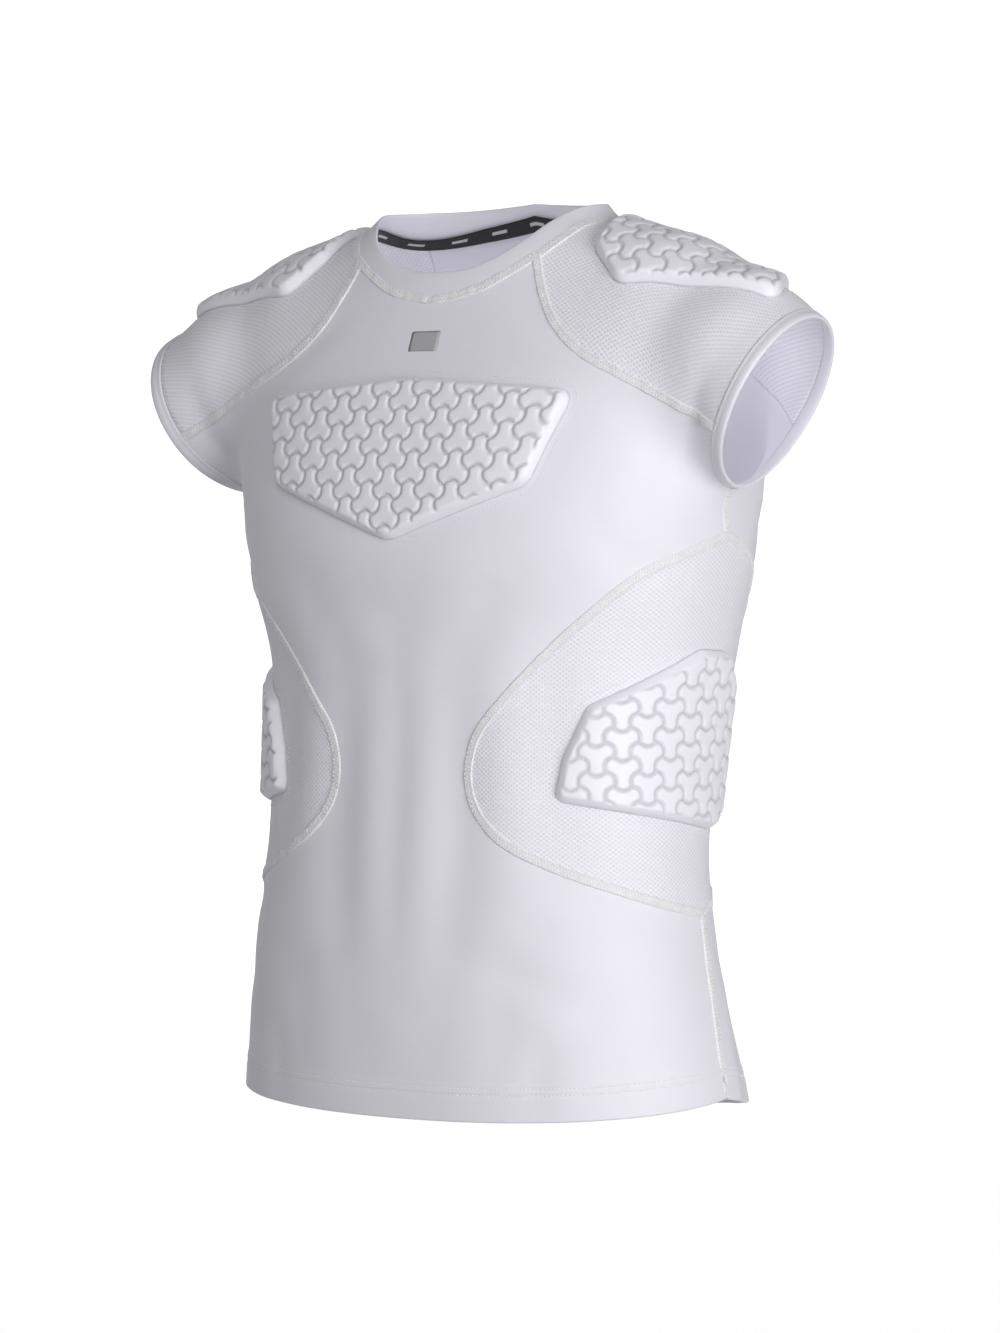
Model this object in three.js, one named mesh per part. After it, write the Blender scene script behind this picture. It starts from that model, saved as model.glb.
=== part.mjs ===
// Padded compression shirt with short cap sleeves, standing hollow as it is when worn.
// Millimetres. +X is the wearer's left, the front faces -Y, +Z is up, and the origin lies
// in the middle of the neck opening at shoulder height.
import * as THREE from 'three';

// Cloth
const CLOTH = 1.5;
const HEM_CLOTH = 2.4;
const HEM_HEIGHT = 22;
const BAND_OUT = 0.5;
const BAND_IN = 1.9;
const SEAM_GAP = 0.3;
const TAPE = 1.1;
const TAPE_DEPTH = BAND_IN + 0.7;
const CUFF_WIDTH = 9.5;

// Pads
const PAD_CLEARANCE = 1.0;
const PAD_TOP = 8.6;
const PAD_GROOVE = 6.2;
const PAD_EDGE = 3.2;
const PAD_RIM = 7.4;
const PAD_BEVEL = 6;
const TILE_PITCH = 20.4;
const TILE_LOBE = 3.1;
const TILE_SHRINK = 0.8;

// A tile swells on three of its six sides: two upper ones and the bottom, or the reverse.
const TWO_UP = 1;
const TWO_DOWN = 0;

// Divisions of the cloth
const ACROSS = 14;
const RAGLAN_ROWS = 9;
const CUFF_ROWS = 4;
const UNDERARM_ROWS = 1;
const CURVE_ROWS = 12;
const SIDE_ROWS = 5;
const SIDE_COLUMNS = 7;
const SHOULDER_COLUMNS = 12;

// Colours, as sRGB
const WHITE_CLOTH = 0xe9e9ee;
const WHITE_MESH = 0xe2e2e8;
const WHITE_PAD = 0xededf1;
const BLACK_TAPE = 0x17171a;

const LEFT = 1;
const RIGHT = -1;

const vec = (x, y, z) => new THREE.Vector3(x, y, z);
const radians = THREE.MathUtils.degToRad;

function table(columns, rows) {
  const names = columns.split(' ');
  return rows.map((row) => Object.fromEntries(names.map((name, i) => [name, row[i]])));
}

// Level sections of the body that the shirt lies on: half the width, the depth to the front
// and to the back of the side line, and how square the corners are.
const BODY = table('z half front back square', [
  [-670, 200, 122, 126, 2.3],
  [-630, 197, 122, 124, 2.3],
  [-560, 187, 124, 110, 2.3],
  [-500, 178, 123, 101, 2.3],
  [-447, 171, 120, 104, 2.3],
  [-394, 171, 117, 117, 2.3],
  [-316, 177, 115, 137, 2.3],
  [-242, 194, 127, 142, 2.3],
  [-190, 198, 121, 139, 2.6],
  [-150, 200, 109, 130, 2.8],
  [-112, 200, 95, 118, 2.7],
  [-84, 199, 83, 108, 2.5],
  [-56, 194, 73, 96, 2.2],
  [-38, 179, 68, 87, 2.0],
  [-24, 158, 63, 78, 2.0],
  [-12, 130, 58, 69, 2.0],
  [0, 105, 53, 61, 2.0],
  [12, 92, 48, 56, 2.0],
  [30, 84, 46, 54, 2.0],
]);

// Points on the middle line of the shoulder and upper arm, and the radius round each.
const ARM = table('x y z radius', [
  [60, 5, -75, 46],
  [150, 3, -84, 60],
  [213, -3, -110, 63],
  [255, -9, -136, 61],
  [310, -14, -174, 57],
]);
const ARM_BLEND = 12;
const SHOULDER_BLEND = 34;

// Seams. Angles run from the front middle round to the wearer's left.
const COLLAR_SEAM = table('angle z', [
  [0, -57],
  [27, -50],
  [41, -40],
  [54, -27],
  [74, -5],
  [90, 0],
  [115, -6],
  [145, 0],
  [180, 6],
]);
const COLLAR_TOP = table('angle z', [
  [0, -37],
  [20, -35],
  [37, -27],
  [50, -16],
  [64, -2],
  [80, 9],
  [100, 13],
  [130, 15],
  [180, 19],
]);
const RAGLAN_FRONT = table('x z', [
  [86, -48],
  [101, -73],
  [127, -96],
  [165, -116],
  [204, -136],
]);
const RAGLAN_BACK = table('x z', [
  [94, -16],
  [106, -45],
  [130, -77],
  [165, -106],
  [204, -130],
]);
const RAGLAN_FRONT_ANGLE = 54;
const RAGLAN_BACK_ANGLE = 115;
const SIDE_CURVE = table('step angle z', [
  [0, 92, -223],
  [1, 79, -237],
  [2, 68, -254],
  [3, 57, -285],
  [4, 47, -314],
  [5, 37, -342],
  [6, 30, -363],
  [7, 27, -388],
  [8, 29, -412],
  [9, 37, -435],
  [10, 50, -453],
  [11, 65, -469],
  [12, 78, -481],
  [13, 92, -490],
]);
const SIDE_ANGLE = 92;
const BACK_CURVE_REACH = 0.8;
const HEM_SIDE_Z = -618;

// Height of a panel's rows at its middle line, against their height at its edge.
const FRONT_MIDDLE = table('edge middle', [
  [-640, -654],
  [-618, -632],
  [-490, -498],
  [-388, -390],
  [-223, -232],
  [-161, -176],
  [-110, -138],
  [-73, -108],
  [-48, -83],
  [-27, -57],
]);
const BACK_MIDDLE = table('edge middle', [
  [-640, -662],
  [-618, -640],
  [-490, -500],
  [-388, -390],
  [-223, -226],
  [-150, -158],
  [-100, -106],
  [-45, -54],
  [-16, -14],
  [-6, 6],
]);

// The armhole is a slanting oval round this middle point.
const ARMHOLE_MIDDLE = vec(241, -8, -142);
const ARMHOLE_UP = vec(0.45, 0, 0.893).normalize();
const ARMHOLE_FRONT = vec(0.1, -1, 0).normalize();
const ARMHOLE_OUT = ARMHOLE_UP.clone().cross(ARMHOLE_FRONT).normalize();
const ARMHOLE_REACH = 96;
const CUFF_FRONT_ANGLE = -14;
const CUFF_BACK_ANGLE = 189;
const CUFF_LOW_ANGLE = 270;

// The tape runs round the inside of the collar seam between these angles.
const TAPE_START = 66;
const TAPE_ABOVE_SEAM = 5.5;
const TAPE_BELOW_SEAM = 6;

// Pad outlines: corners in each pad's own two directions, and the radius that rounds each.
const CHEST_PAD = table('u v radius', [
  [0, -112, 60],
  [132, -123, 12],
  [108, -189, 16],
  [0, -228, 22],
  [-108, -189, 16],
  [-132, -123, 12],
]);
const RIB_PAD = table('u v radius', [
  [-119, -408, 8],
  [-112, -378, 10],
  [-94, -342, 10],
  [-8, -303, 14],
  [26, -305, 14],
  [44, -330, 14],
  [44, -419, 14],
  [22, -432, 14],
]);
const SHOULDER_PAD = table('u v radius', [
  [107, 0, 30],
  [116, -46, 16],
  [145, -71, 14],
  [258, -14, 14],
  [238, 24, 14],
  [140, 74, 14],
  [116, 48, 16],
]);
const RIB_RADIUS = 168;
const SHOULDER_RADIUS = 66;
const OUTLINE_STEP = 14;
const ON_OUTLINE = 0.01;

// The smooth form

// Value of every column at a place between the rows, on a curve through all of them.
function along(rows, key, place) {
  const forward = rows[1][key] > rows[0][key] ? rows : [...rows].reverse();
  const last = forward.length - 1;
  const at = THREE.MathUtils.clamp(place, forward[0][key], forward[last][key]);
  let i = 0;
  while (i < last - 1 && forward[i + 1][key] <= at) i += 1;
  const slope = (j, name) => {
    const a = forward[Math.max(j - 1, 0)];
    const b = forward[Math.min(j + 1, last)];
    return (b[name] - a[name]) / (b[key] - a[key]);
  };
  const span = forward[i + 1][key] - forward[i][key];
  const t = (at - forward[i][key]) / span;
  const row = {};
  for (const name of Object.keys(forward[0])) {
    const from = forward[i][name] * (2 * t ** 3 - 3 * t ** 2 + 1);
    const to = forward[i + 1][name] * (3 * t ** 2 - 2 * t ** 3);
    const leave = slope(i, name) * span * (t ** 3 - 2 * t ** 2 + t);
    const arrive = slope(i + 1, name) * span * (t ** 3 - t ** 2);
    row[name] = from + to + leave + arrive;
  }
  return row;
}

// The lesser of two distances, rounded where they are nearly equal.
function blend(a, b, reach) {
  const near = Math.max(reach - Math.abs(a - b), 0) / reach;
  return Math.min(a, b) - near * near * reach / 4;
}

function bodyDistance(p) {
  const s = along(BODY, 'z', p.z);
  const x = Math.abs(p.x) / s.half;
  const y = p.y - (s.back - s.front) / 2;
  const depth = (s.back + s.front) / 2;
  const ratio = (x ** s.square + Math.abs(y / depth) ** s.square) ** (1 / s.square);
  return Math.hypot(p.x, y) * (1 - 1 / Math.max(ratio, 1e-6));
}

function armDistance(p) {
  const q = vec(Math.abs(p.x), p.y, p.z);
  let nearest = null;
  for (let i = 1; i < ARM.length; i += 1) {
    const from = vec(ARM[i - 1].x, ARM[i - 1].y, ARM[i - 1].z);
    const bone = vec(ARM[i].x, ARM[i].y, ARM[i].z).sub(from);
    const t = THREE.MathUtils.clamp(q.clone().sub(from).dot(bone) / bone.lengthSq(), 0, 1);
    const radius = THREE.MathUtils.lerp(ARM[i - 1].radius, ARM[i].radius, t);
    const distance = q.distanceTo(from.addScaledVector(bone, t)) - radius;
    nearest = nearest === null ? distance : blend(nearest, distance, ARM_BLEND);
  }
  return nearest;
}

function distance(p) {
  return blend(bodyDistance(p), armDistance(p), SHOULDER_BLEND);
}

function slopeAt(p) {
  const step = 0.5;
  const rise = (x, y, z) => distance(vec(p.x + x, p.y + y, p.z + z));
  return vec(
    rise(step, 0, 0) - rise(-step, 0, 0),
    rise(0, step, 0) - rise(0, -step, 0),
    rise(0, 0, step) - rise(0, 0, -step),
  ).divideScalar(2 * step);
}

// A place on the form, with the direction straight out of it.
function spot(p) {
  return { p, n: slopeAt(p).normalize() };
}

// Moves a guessed point straight onto the form.
function settle(guess) {
  const p = guess.clone();
  for (let i = 0; i < 8; i += 1) {
    const slope = slopeAt(p);
    p.addScaledVector(slope, -distance(p) / slope.lengthSq());
  }
  return spot(p);
}

// Follows a ray from inside the form to the first place where it comes out.
function outward(origin, direction, reach = 420) {
  const step = 4;
  const at = (t) => origin.clone().addScaledVector(direction, t);
  let far = step;
  while (far < reach && distance(at(far)) <= 0) far += step;
  let near = far - step;
  for (let i = 0; i < 24; i += 1) {
    const middle = (near + far) / 2;
    if (distance(at(middle)) <= 0) near = middle;
    else far = middle;
  }
  return spot(at(far));
}

function around(angle, z) {
  const turn = radians(angle);
  return outward(vec(0, 0, z), vec(Math.sin(turn), -Math.cos(turn), 0));
}

function mirrored(place) {
  return { p: vec(-place.p.x, place.p.y, place.p.z), n: vec(-place.n.x, place.n.y, place.n.z) };
}

// Seam lines on the wearer's left. Panels that meet share the same places.

const steps = (count) => Array.from({ length: count + 1 }, (_, i) => i / count);

function collarPlace(rows, angle) {
  const folded = Math.abs(THREE.MathUtils.euclideanModulo(angle + 180, 360) - 180);
  return around(angle, along(rows, 'angle', folded).z);
}

function armholeEdge(angle) {
  const turn = radians(angle);
  const direction = ARMHOLE_FRONT.clone().multiplyScalar(Math.cos(turn));
  direction.addScaledVector(ARMHOLE_UP, Math.sin(turn));
  return outward(ARMHOLE_MIDDLE, direction, ARMHOLE_REACH);
}

// The cuff seam lies one cuff width in from the armhole's edge, measured on the cloth.
function cuffSeam(angle) {
  const edge = armholeEdge(angle);
  const inward = ARMHOLE_OUT.clone().projectOnPlane(edge.n).normalize();
  return settle(edge.p.clone().addScaledVector(inward, -CUFF_WIDTH));
}

function cuffAngles() {
  const top = steps(SHOULDER_COLUMNS).map((t) => CUFF_FRONT_ANGLE
    + t * (CUFF_BACK_ANGLE - CUFF_FRONT_ANGLE));
  const back = steps(CUFF_ROWS).slice(1).map((t) => CUFF_BACK_ANGLE
    + t * (CUFF_LOW_ANGLE - CUFF_BACK_ANGLE));
  const front = steps(CUFF_ROWS).slice(1, -1).map((t) => CUFF_LOW_ANGLE
    + t * (CUFF_FRONT_ANGLE + 360 - CUFF_LOW_ANGLE));
  return [...top, ...back, ...front];
}

// A raglan seam runs from the collar seam to the cuff seam through its table's rows.
function raglan(rows, face, collarAngle, cuffAngle) {
  const start = collarPlace(COLLAR_SEAM, collarAngle);
  const end = cuffSeam(cuffAngle);
  const path = [start.p];
  for (const row of rows) {
    path.push(outward(vec(row.x, 0, row.z), vec(0, face, 0)).p);
  }
  path.push(end.p);
  const curve = new THREE.CatmullRomCurve3(path, false, 'centripetal');
  const places = steps(RAGLAN_ROWS).map((t) => settle(curve.getPointAt(t)));
  places[0] = start;
  places[RAGLAN_ROWS] = end;
  return places;
}

function sideCurve(reach) {
  const last = SIDE_CURVE.length - 1;
  return steps(CURVE_ROWS).map((t) => {
    const row = along(SIDE_CURVE, 'step', t * last);
    return around(SIDE_ANGLE + reach * (SIDE_ANGLE - row.angle), row.z);
  });
}

function sideSeam() {
  const top = SIDE_CURVE.at(-1).z;
  return steps(SIDE_ROWS).map((t) => around(SIDE_ANGLE, top + t * (HEM_SIDE_Z - top)));
}

const RAGLANS = {
  front: raglan(RAGLAN_FRONT, -1, RAGLAN_FRONT_ANGLE, CUFF_FRONT_ANGLE),
  back: raglan(RAGLAN_BACK, 1, RAGLAN_BACK_ANGLE, CUFF_BACK_ANGLE),
};
const CURVES = { front: sideCurve(-1), back: sideCurve(BACK_CURVE_REACH) };

// The edge of the front or back panel, from the collar down to the hem.
function panelEdge(raglanLine, cuffAngle, curveLine) {
  const lowAngle = cuffAngle < CUFF_LOW_ANGLE - 180 ? CUFF_LOW_ANGLE - 360 : CUFF_LOW_ANGLE;
  const cuff = steps(CUFF_ROWS).map((t) => cuffSeam(cuffAngle + t * (lowAngle - cuffAngle)));
  const underarm = cuff.at(-1).p;
  const apex = curveLine[0].p;
  const join = steps(UNDERARM_ROWS).map((t) => settle(underarm.clone().lerp(apex, t)));
  return [
    ...raglanLine,
    ...cuff.slice(1),
    ...join.slice(1, -1),
    ...curveLine,
    ...sideSeam().slice(1),
  ];
}

// Walls

// Moves the sewn edges of a sheet of places back by half the gap that a seam keeps.
function trimmed(sheet, sewn) {
  const rows = sheet.length;
  const columns = sheet[0].length;
  const shifts = sheet.map((row) => row.map(() => vec(0, 0, 0)));
  const trim = (i, j, before, after, inside) => {
    const place = sheet[i][j];
    const line = after.p.clone().sub(before.p);
    const inwards = inside.p.clone().sub(place.p);
    let shift = inwards;
    if (line.length() > 0.5) {
      shift = place.n.clone().cross(line).normalize();
      if (shift.dot(inwards) < 0) shift.negate();
    }
    shifts[i][j].add(shift.setLength(SEAM_GAP / 2));
  };
  const middle = Math.floor(columns / 2);
  for (let j = 0; j < columns; j += 1) {
    const from = Math.max(j - 1, 0);
    const to = Math.min(j + 1, columns - 1);
    const single = (i) => sheet[i][0].p.distanceTo(sheet[i][columns - 1].p) < 0.5;
    const first = single(0) ? sheet[1][middle] : sheet[1][j];
    const last = single(rows - 1) ? sheet[rows - 2][middle] : sheet[rows - 2][j];
    if (sewn.first) trim(0, j, sheet[0][from], sheet[0][to], first);
    if (sewn.last) trim(rows - 1, j, sheet[rows - 1][from], sheet[rows - 1][to], last);
  }
  for (let i = 0; i < rows; i += 1) {
    const from = sheet[Math.max(i - 1, 0)];
    const to = sheet[Math.min(i + 1, rows - 1)];
    if (sheet[i][0].p.distanceTo(sheet[i][columns - 1].p) < 0.5) continue;
    if (sewn.sides) trim(i, 0, from[0], to[0], sheet[i][1]);
    if (sewn.sides) trim(i, columns - 1, from[columns - 1], to[columns - 1], sheet[i][columns - 2]);
  }
  return sheet.map((row, i) => row.map((place, j) => ({
    p: place.p.clone().add(shifts[i][j]),
    n: place.n,
  })));
}

// Gathers triangles, joins equal points and drops triangles with no area.
class Faces {
  constructor() {
    this.points = [];
    this.index = [];
    this.known = new Map();
  }

  point(p) {
    const key = [p.x, p.y, p.z].map((value) => Math.round(value * 1e4)).join();
    if (!this.known.has(key)) {
      this.known.set(key, this.points.length);
      this.points.push(p);
    }
    return this.known.get(key);
  }

  triangle(a, b, c) {
    const corners = [this.point(a), this.point(b), this.point(c)];
    if (new Set(corners).size === 3) this.index.push(...corners);
  }

  quad(a, b, c, d) {
    this.triangle(a, b, c);
    this.triangle(a, c, d);
  }

  geometry() {
    const geometry = new THREE.BufferGeometry();
    const flat = this.points.flatMap((p) => [p.x, p.y, p.z]);
    let volume = 0;
    for (let i = 0; i < this.index.length; i += 3) {
      const [a, b, c] = [0, 1, 2].map((k) => this.points[this.index[i + k]]);
      volume += a.dot(b.clone().cross(c));
    }
    if (volume < 0) this.index.reverse();
    geometry.setAttribute('position', new THREE.Float32BufferAttribute(flat, 3));
    geometry.setIndex(this.index);
    geometry.computeVertexNormals();
    return geometry;
  }
}

// A closed wall between two offsets of a sheet of places. A ring's columns run all round.
function wall(sheet, outer, inner, ring = false) {
  const rows = sheet.length;
  const columns = sheet[0].length;
  const moved = (offset) => sheet.map((row, i) => row.map(({ p, n }) => p.clone()
    .addScaledVector(n, offset(i))));
  const out = moved(outer);
  const inn = moved(inner);
  const faces = new Faces();
  const spans = ring ? columns : columns - 1;
  for (let j = 0; j < spans; j += 1) {
    const k = (j + 1) % columns;
    for (let i = 0; i < rows - 1; i += 1) {
      faces.quad(out[i][j], out[i + 1][j], out[i + 1][k], out[i][k]);
      faces.quad(inn[i][j], inn[i][k], inn[i + 1][k], inn[i + 1][j]);
    }
    faces.quad(out[0][j], out[0][k], inn[0][k], inn[0][j]);
    faces.quad(out[rows - 1][j], inn[rows - 1][j], inn[rows - 1][k], out[rows - 1][k]);
  }
  if (!ring) {
    const end = columns - 1;
    for (let i = 0; i < rows - 1; i += 1) {
      faces.quad(out[i][0], inn[i][0], inn[i + 1][0], out[i + 1][0]);
      faces.quad(out[i][end], out[i + 1][end], inn[i + 1][end], inn[i][end]);
    }
  }
  return faces.geometry();
}

// Front and back

// A row of places from the edge on the right of the body to the same edge on its left.
function acrossRow(edge, middleZ, face) {
  const middle = outward(vec(0, 0, middleZ), vec(0, face, 0)).p;
  const reach = Math.atan2(edge.p.x, face * edge.p.y);
  return steps(ACROSS).map((t) => {
    const turn = (2 * t - 1) * reach;
    const rise = (1 - Math.cos(turn)) / (1 - Math.cos(reach));
    const guess = middle.clone().lerp(edge.p, rise);
    guess.x = edge.p.x * Math.sin(turn) / Math.sin(reach);
    if (t === 0) return mirrored(edge);
    return t === 1 ? edge : settle(guess);
  });
}

function collarRow(from, to, count) {
  return steps(count).map((t) => collarPlace(COLLAR_SEAM, from + t * (to - from)));
}

function mainPanel(edge, middles, face, neckRow) {
  const sheet = edge.map((place) => acrossRow(place, along(middles, 'edge', place.p.z).middle, face));
  sheet[0] = neckRow;
  const hemStart = HEM_SIDE_Z + HEM_HEIGHT;
  const inner = (i) => (edge[i].p.z < hemStart ? -HEM_CLOTH : -CLOTH);
  return wall(trimmed(sheet, { first: true, last: false, sides: true }), () => 0, inner);
}

function frontPanel() {
  const edge = panelEdge(RAGLANS.front, CUFF_FRONT_ANGLE, CURVES.front);
  const neck = collarRow(-RAGLAN_FRONT_ANGLE, RAGLAN_FRONT_ANGLE, ACROSS);
  return mainPanel(edge, FRONT_MIDDLE, -1, neck);
}

function backPanel() {
  const edge = panelEdge(RAGLANS.back, CUFF_BACK_ANGLE, CURVES.back);
  const neck = collarRow(360 - RAGLAN_BACK_ANGLE, RAGLAN_BACK_ANGLE, ACROSS);
  return mainPanel(edge, BACK_MIDDLE, 1, neck);
}

// Side and shoulder panels

function onSide(sheet, side) {
  return side === LEFT ? sheet : sheet.map((row) => row.map(mirrored));
}

function angleOf(place) {
  return THREE.MathUtils.radToDeg(Math.atan2(place.p.x, -place.p.y));
}

function sidePanel(side) {
  const sheet = CURVES.front.map((front, i) => {
    const back = CURVES.back[i];
    return steps(SIDE_COLUMNS).map((t) => {
      if (t === 0) return front;
      if (t === 1) return back;
      const angle = THREE.MathUtils.lerp(angleOf(front), angleOf(back), t);
      return around(angle, THREE.MathUtils.lerp(front.p.z, back.p.z, t));
    });
  });
  const edges = { first: true, last: true, sides: true };
  return wall(onSide(trimmed(sheet, edges), side), () => 0, () => -CLOTH);
}

function shoulderPanel(side) {
  const neck = collarRow(RAGLAN_FRONT_ANGLE, RAGLAN_BACK_ANGLE, SHOULDER_COLUMNS);
  const cuff = cuffAngles().slice(0, SHOULDER_COLUMNS + 1).map(cuffSeam);
  const half = SHOULDER_COLUMNS / 2;
  const sheet = steps(RAGLAN_ROWS).map((v, i) => {
    const front = RAGLANS.front[i];
    const back = RAGLANS.back[i];
    const middle = front.p.clone().lerp(back.p, 0.5);
    const crest = neck[half].p.clone().lerp(cuff[half].p, v);
    crest.z = outward(vec(crest.x, crest.y, ARMHOLE_MIDDLE.z), vec(0, 0, 1)).p.z;
    return steps(SHOULDER_COLUMNS).map((t) => {
      if (t === 0) return front;
      if (t === 1) return back;
      const turn = (2 * t - 1) * Math.PI / 2;
      const guess = middle.clone().lerp(back.p, Math.sin(turn));
      guess.addScaledVector(crest.clone().sub(middle), Math.cos(turn));
      return settle(guess);
    });
  });
  sheet[0] = neck;
  sheet[RAGLAN_ROWS] = cuff;
  const edges = { first: true, last: true, sides: true };
  return wall(onSide(trimmed(sheet, edges), side), () => 0, () => -CLOTH);
}

// Bands

function cuff(side) {
  const angles = cuffAngles();
  const sheet = [angles.map(cuffSeam), angles.map(armholeEdge)];
  sheet[0] = sheet[0].map(({ p, n }, j) => {
    const inwards = sheet[1][j].p.clone().sub(p).setLength(SEAM_GAP / 2);
    return { p: p.clone().add(inwards), n };
  });
  return wall(onSide(sheet, side), () => BAND_OUT, () => -BAND_IN, true);
}

function collarAngles() {
  const front = steps(ACROSS).map((t) => RAGLAN_FRONT_ANGLE * (2 * t - 1));
  const left = steps(SHOULDER_COLUMNS).slice(1).map((t) => RAGLAN_FRONT_ANGLE
    + t * (RAGLAN_BACK_ANGLE - RAGLAN_FRONT_ANGLE));
  const back = steps(ACROSS).slice(1).map((t) => RAGLAN_BACK_ANGLE
    + t * (360 - 2 * RAGLAN_BACK_ANGLE));
  const right = left.slice(0, -1).map((angle) => -angle).reverse();
  return [...front, ...left, ...back, ...right];
}

function collar() {
  const rings = [0, 1].map((t) => collarAngles().map((angle) => {
    const low = collarPlace(COLLAR_SEAM, angle);
    const high = collarPlace(COLLAR_TOP, angle);
    if (t === 0) {
      const upwards = high.p.clone().sub(low.p).setLength(SEAM_GAP / 2);
      return { p: low.p.clone().add(upwards), n: low.n };
    }
    return high;
  }));
  return wall(rings, () => BAND_OUT, () => -BAND_IN, true);
}

function neckTape() {
  const angles = collarAngles().filter((angle) => {
    const turned = THREE.MathUtils.euclideanModulo(angle, 360);
    return turned > TAPE_START && turned < 360 - TAPE_START;
  });
  const sheet = [TAPE_ABOVE_SEAM, -TAPE_BELOW_SEAM].map((rise) => angles.map((angle) => {
    const low = collarPlace(COLLAR_SEAM, angle);
    const high = collarPlace(COLLAR_TOP, angle);
    const up = high.p.clone().sub(low.p).normalize();
    return settle(low.p.clone().addScaledVector(up, rise));
  }));
  return wall(sheet, () => -TAPE_DEPTH, () => -TAPE_DEPTH - TAPE);
}

// Pads

// An outline with each corner rounded by an arc.
function roundedOutline(corners) {
  const points = [];
  const count = corners.length;
  corners.forEach((corner, i) => {
    const at = new THREE.Vector2(corner.u, corner.v);
    const before = corners[(i + count - 1) % count];
    const after = corners[(i + 1) % count];
    const back = new THREE.Vector2(before.u, before.v).sub(at).normalize();
    const ahead = new THREE.Vector2(after.u, after.v).sub(at).normalize();
    const half = Math.acos(THREE.MathUtils.clamp(back.dot(ahead), -1, 1)) / 2;
    const run = corner.radius / Math.tan(half);
    const curve = new THREE.QuadraticBezierCurve(
      at.clone().addScaledVector(back, run),
      at,
      at.clone().addScaledVector(ahead, run),
    );
    points.push(...curve.getPoints(Math.max(1, Math.ceil(2 * run / OUTLINE_STEP))));
  });
  const area = THREE.ShapeUtils.area(points);
  return area < 0 ? points.reverse() : points;
}

// Moves an outline inwards by a width.
function shrunk(outline, width) {
  const count = outline.length;
  return outline.map((point, i) => {
    const before = point.clone().sub(outline[(i + count - 1) % count]).normalize();
    const after = outline[(i + 1) % count].clone().sub(point).normalize();
    const inwards = new THREE.Vector2(-before.y - after.y, before.x + after.x).normalize();
    const lean = Math.max(0.5, inwards.dot(new THREE.Vector2(-after.y, after.x)));
    return point.clone().addScaledVector(inwards, width / lean);
  });
}

function isInside(p, outline) {
  return outline.every((from, i) => {
    const to = outline[(i + 1) % outline.length];
    return (to.x - from.x) * (p.y - from.y) - (to.y - from.y) * (p.x - from.x) > 0;
  });
}

// Cuts a polygon to the inside of a convex outline.
function clipped(polygon, outline) {
  let kept = polygon;
  outline.forEach((from, i) => {
    const to = outline[(i + 1) % outline.length];
    const inside = (p) => (to.x - from.x) * (p.y - from.y) - (to.y - from.y) * (p.x - from.x);
    const next = [];
    kept.forEach((a, j) => {
      const b = kept[(j + 1) % kept.length];
      const [high, low] = inside(a) > inside(b) ? [a, b] : [b, a];
      const crosses = inside(high) > 1e-6 && inside(low) < -1e-6;
      if (inside(a) >= -1e-6) next.push(a);
      if (crosses) next.push(high.clone().lerp(low, inside(high) / (inside(high) - inside(low))));
    });
    kept = next;
  });
  return kept;
}

// One tile has a corner on every hexagon corner and a lobe or a hollow on each side by turns.
function tile(middle, swell) {
  const points = [];
  for (let side = 0; side < 6; side += 1) {
    const corner = radians(60 * side);
    const normal = radians(60 * side + 30);
    const lobe = TILE_LOBE * (side % 2 === swell ? -1 : 1);
    const reach = TILE_PITCH / 2 + lobe;
    const radius = TILE_PITCH / Math.sqrt(3);
    points.push(new THREE.Vector2(Math.cos(corner), Math.sin(corner)).multiplyScalar(radius));
    points.push(new THREE.Vector2(Math.cos(normal), Math.sin(normal)).multiplyScalar(reach));
  }
  return points.map((point) => point.add(middle));
}

function tileMiddles(outline) {
  const box = new THREE.Box2().setFromPoints(outline).expandByScalar(TILE_PITCH);
  const middle = box.getCenter(new THREE.Vector2());
  const size = box.getSize(new THREE.Vector2());
  const column = TILE_PITCH * Math.sqrt(3) / 2;
  const wide = Math.ceil(size.x / column / 2);
  const tall = Math.ceil(size.y / TILE_PITCH / 2) + 1;
  const middles = [];
  for (let i = -wide; i <= wide; i += 1) {
    for (let j = -tall; j <= tall; j += 1) {
      const rise = TILE_PITCH * (j + (i % 2 === 0 ? 0 : 0.5));
      middles.push(new THREE.Vector2(middle.x + column * i, middle.y + rise));
    }
  }
  return middles;
}

const nameOf = (p) => `${Math.round(p.x * 1e3)},${Math.round(p.y * 1e3)}`;

// The edge of a set of polygons that fill an outline, as pairs of its points.
function rimSegments(polygons) {
  const segments = new Map();
  for (const polygon of polygons) {
    polygon.forEach((a, i) => {
      const b = polygon[(i + 1) % polygon.length];
      const opposite = `${nameOf(b)} ${nameOf(a)}`;
      if (segments.has(opposite)) segments.delete(opposite);
      else if (nameOf(a) !== nameOf(b)) segments.set(`${nameOf(a)} ${nameOf(b)}`, [a, b]);
    });
  }
  return [...segments.values()];
}

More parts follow.
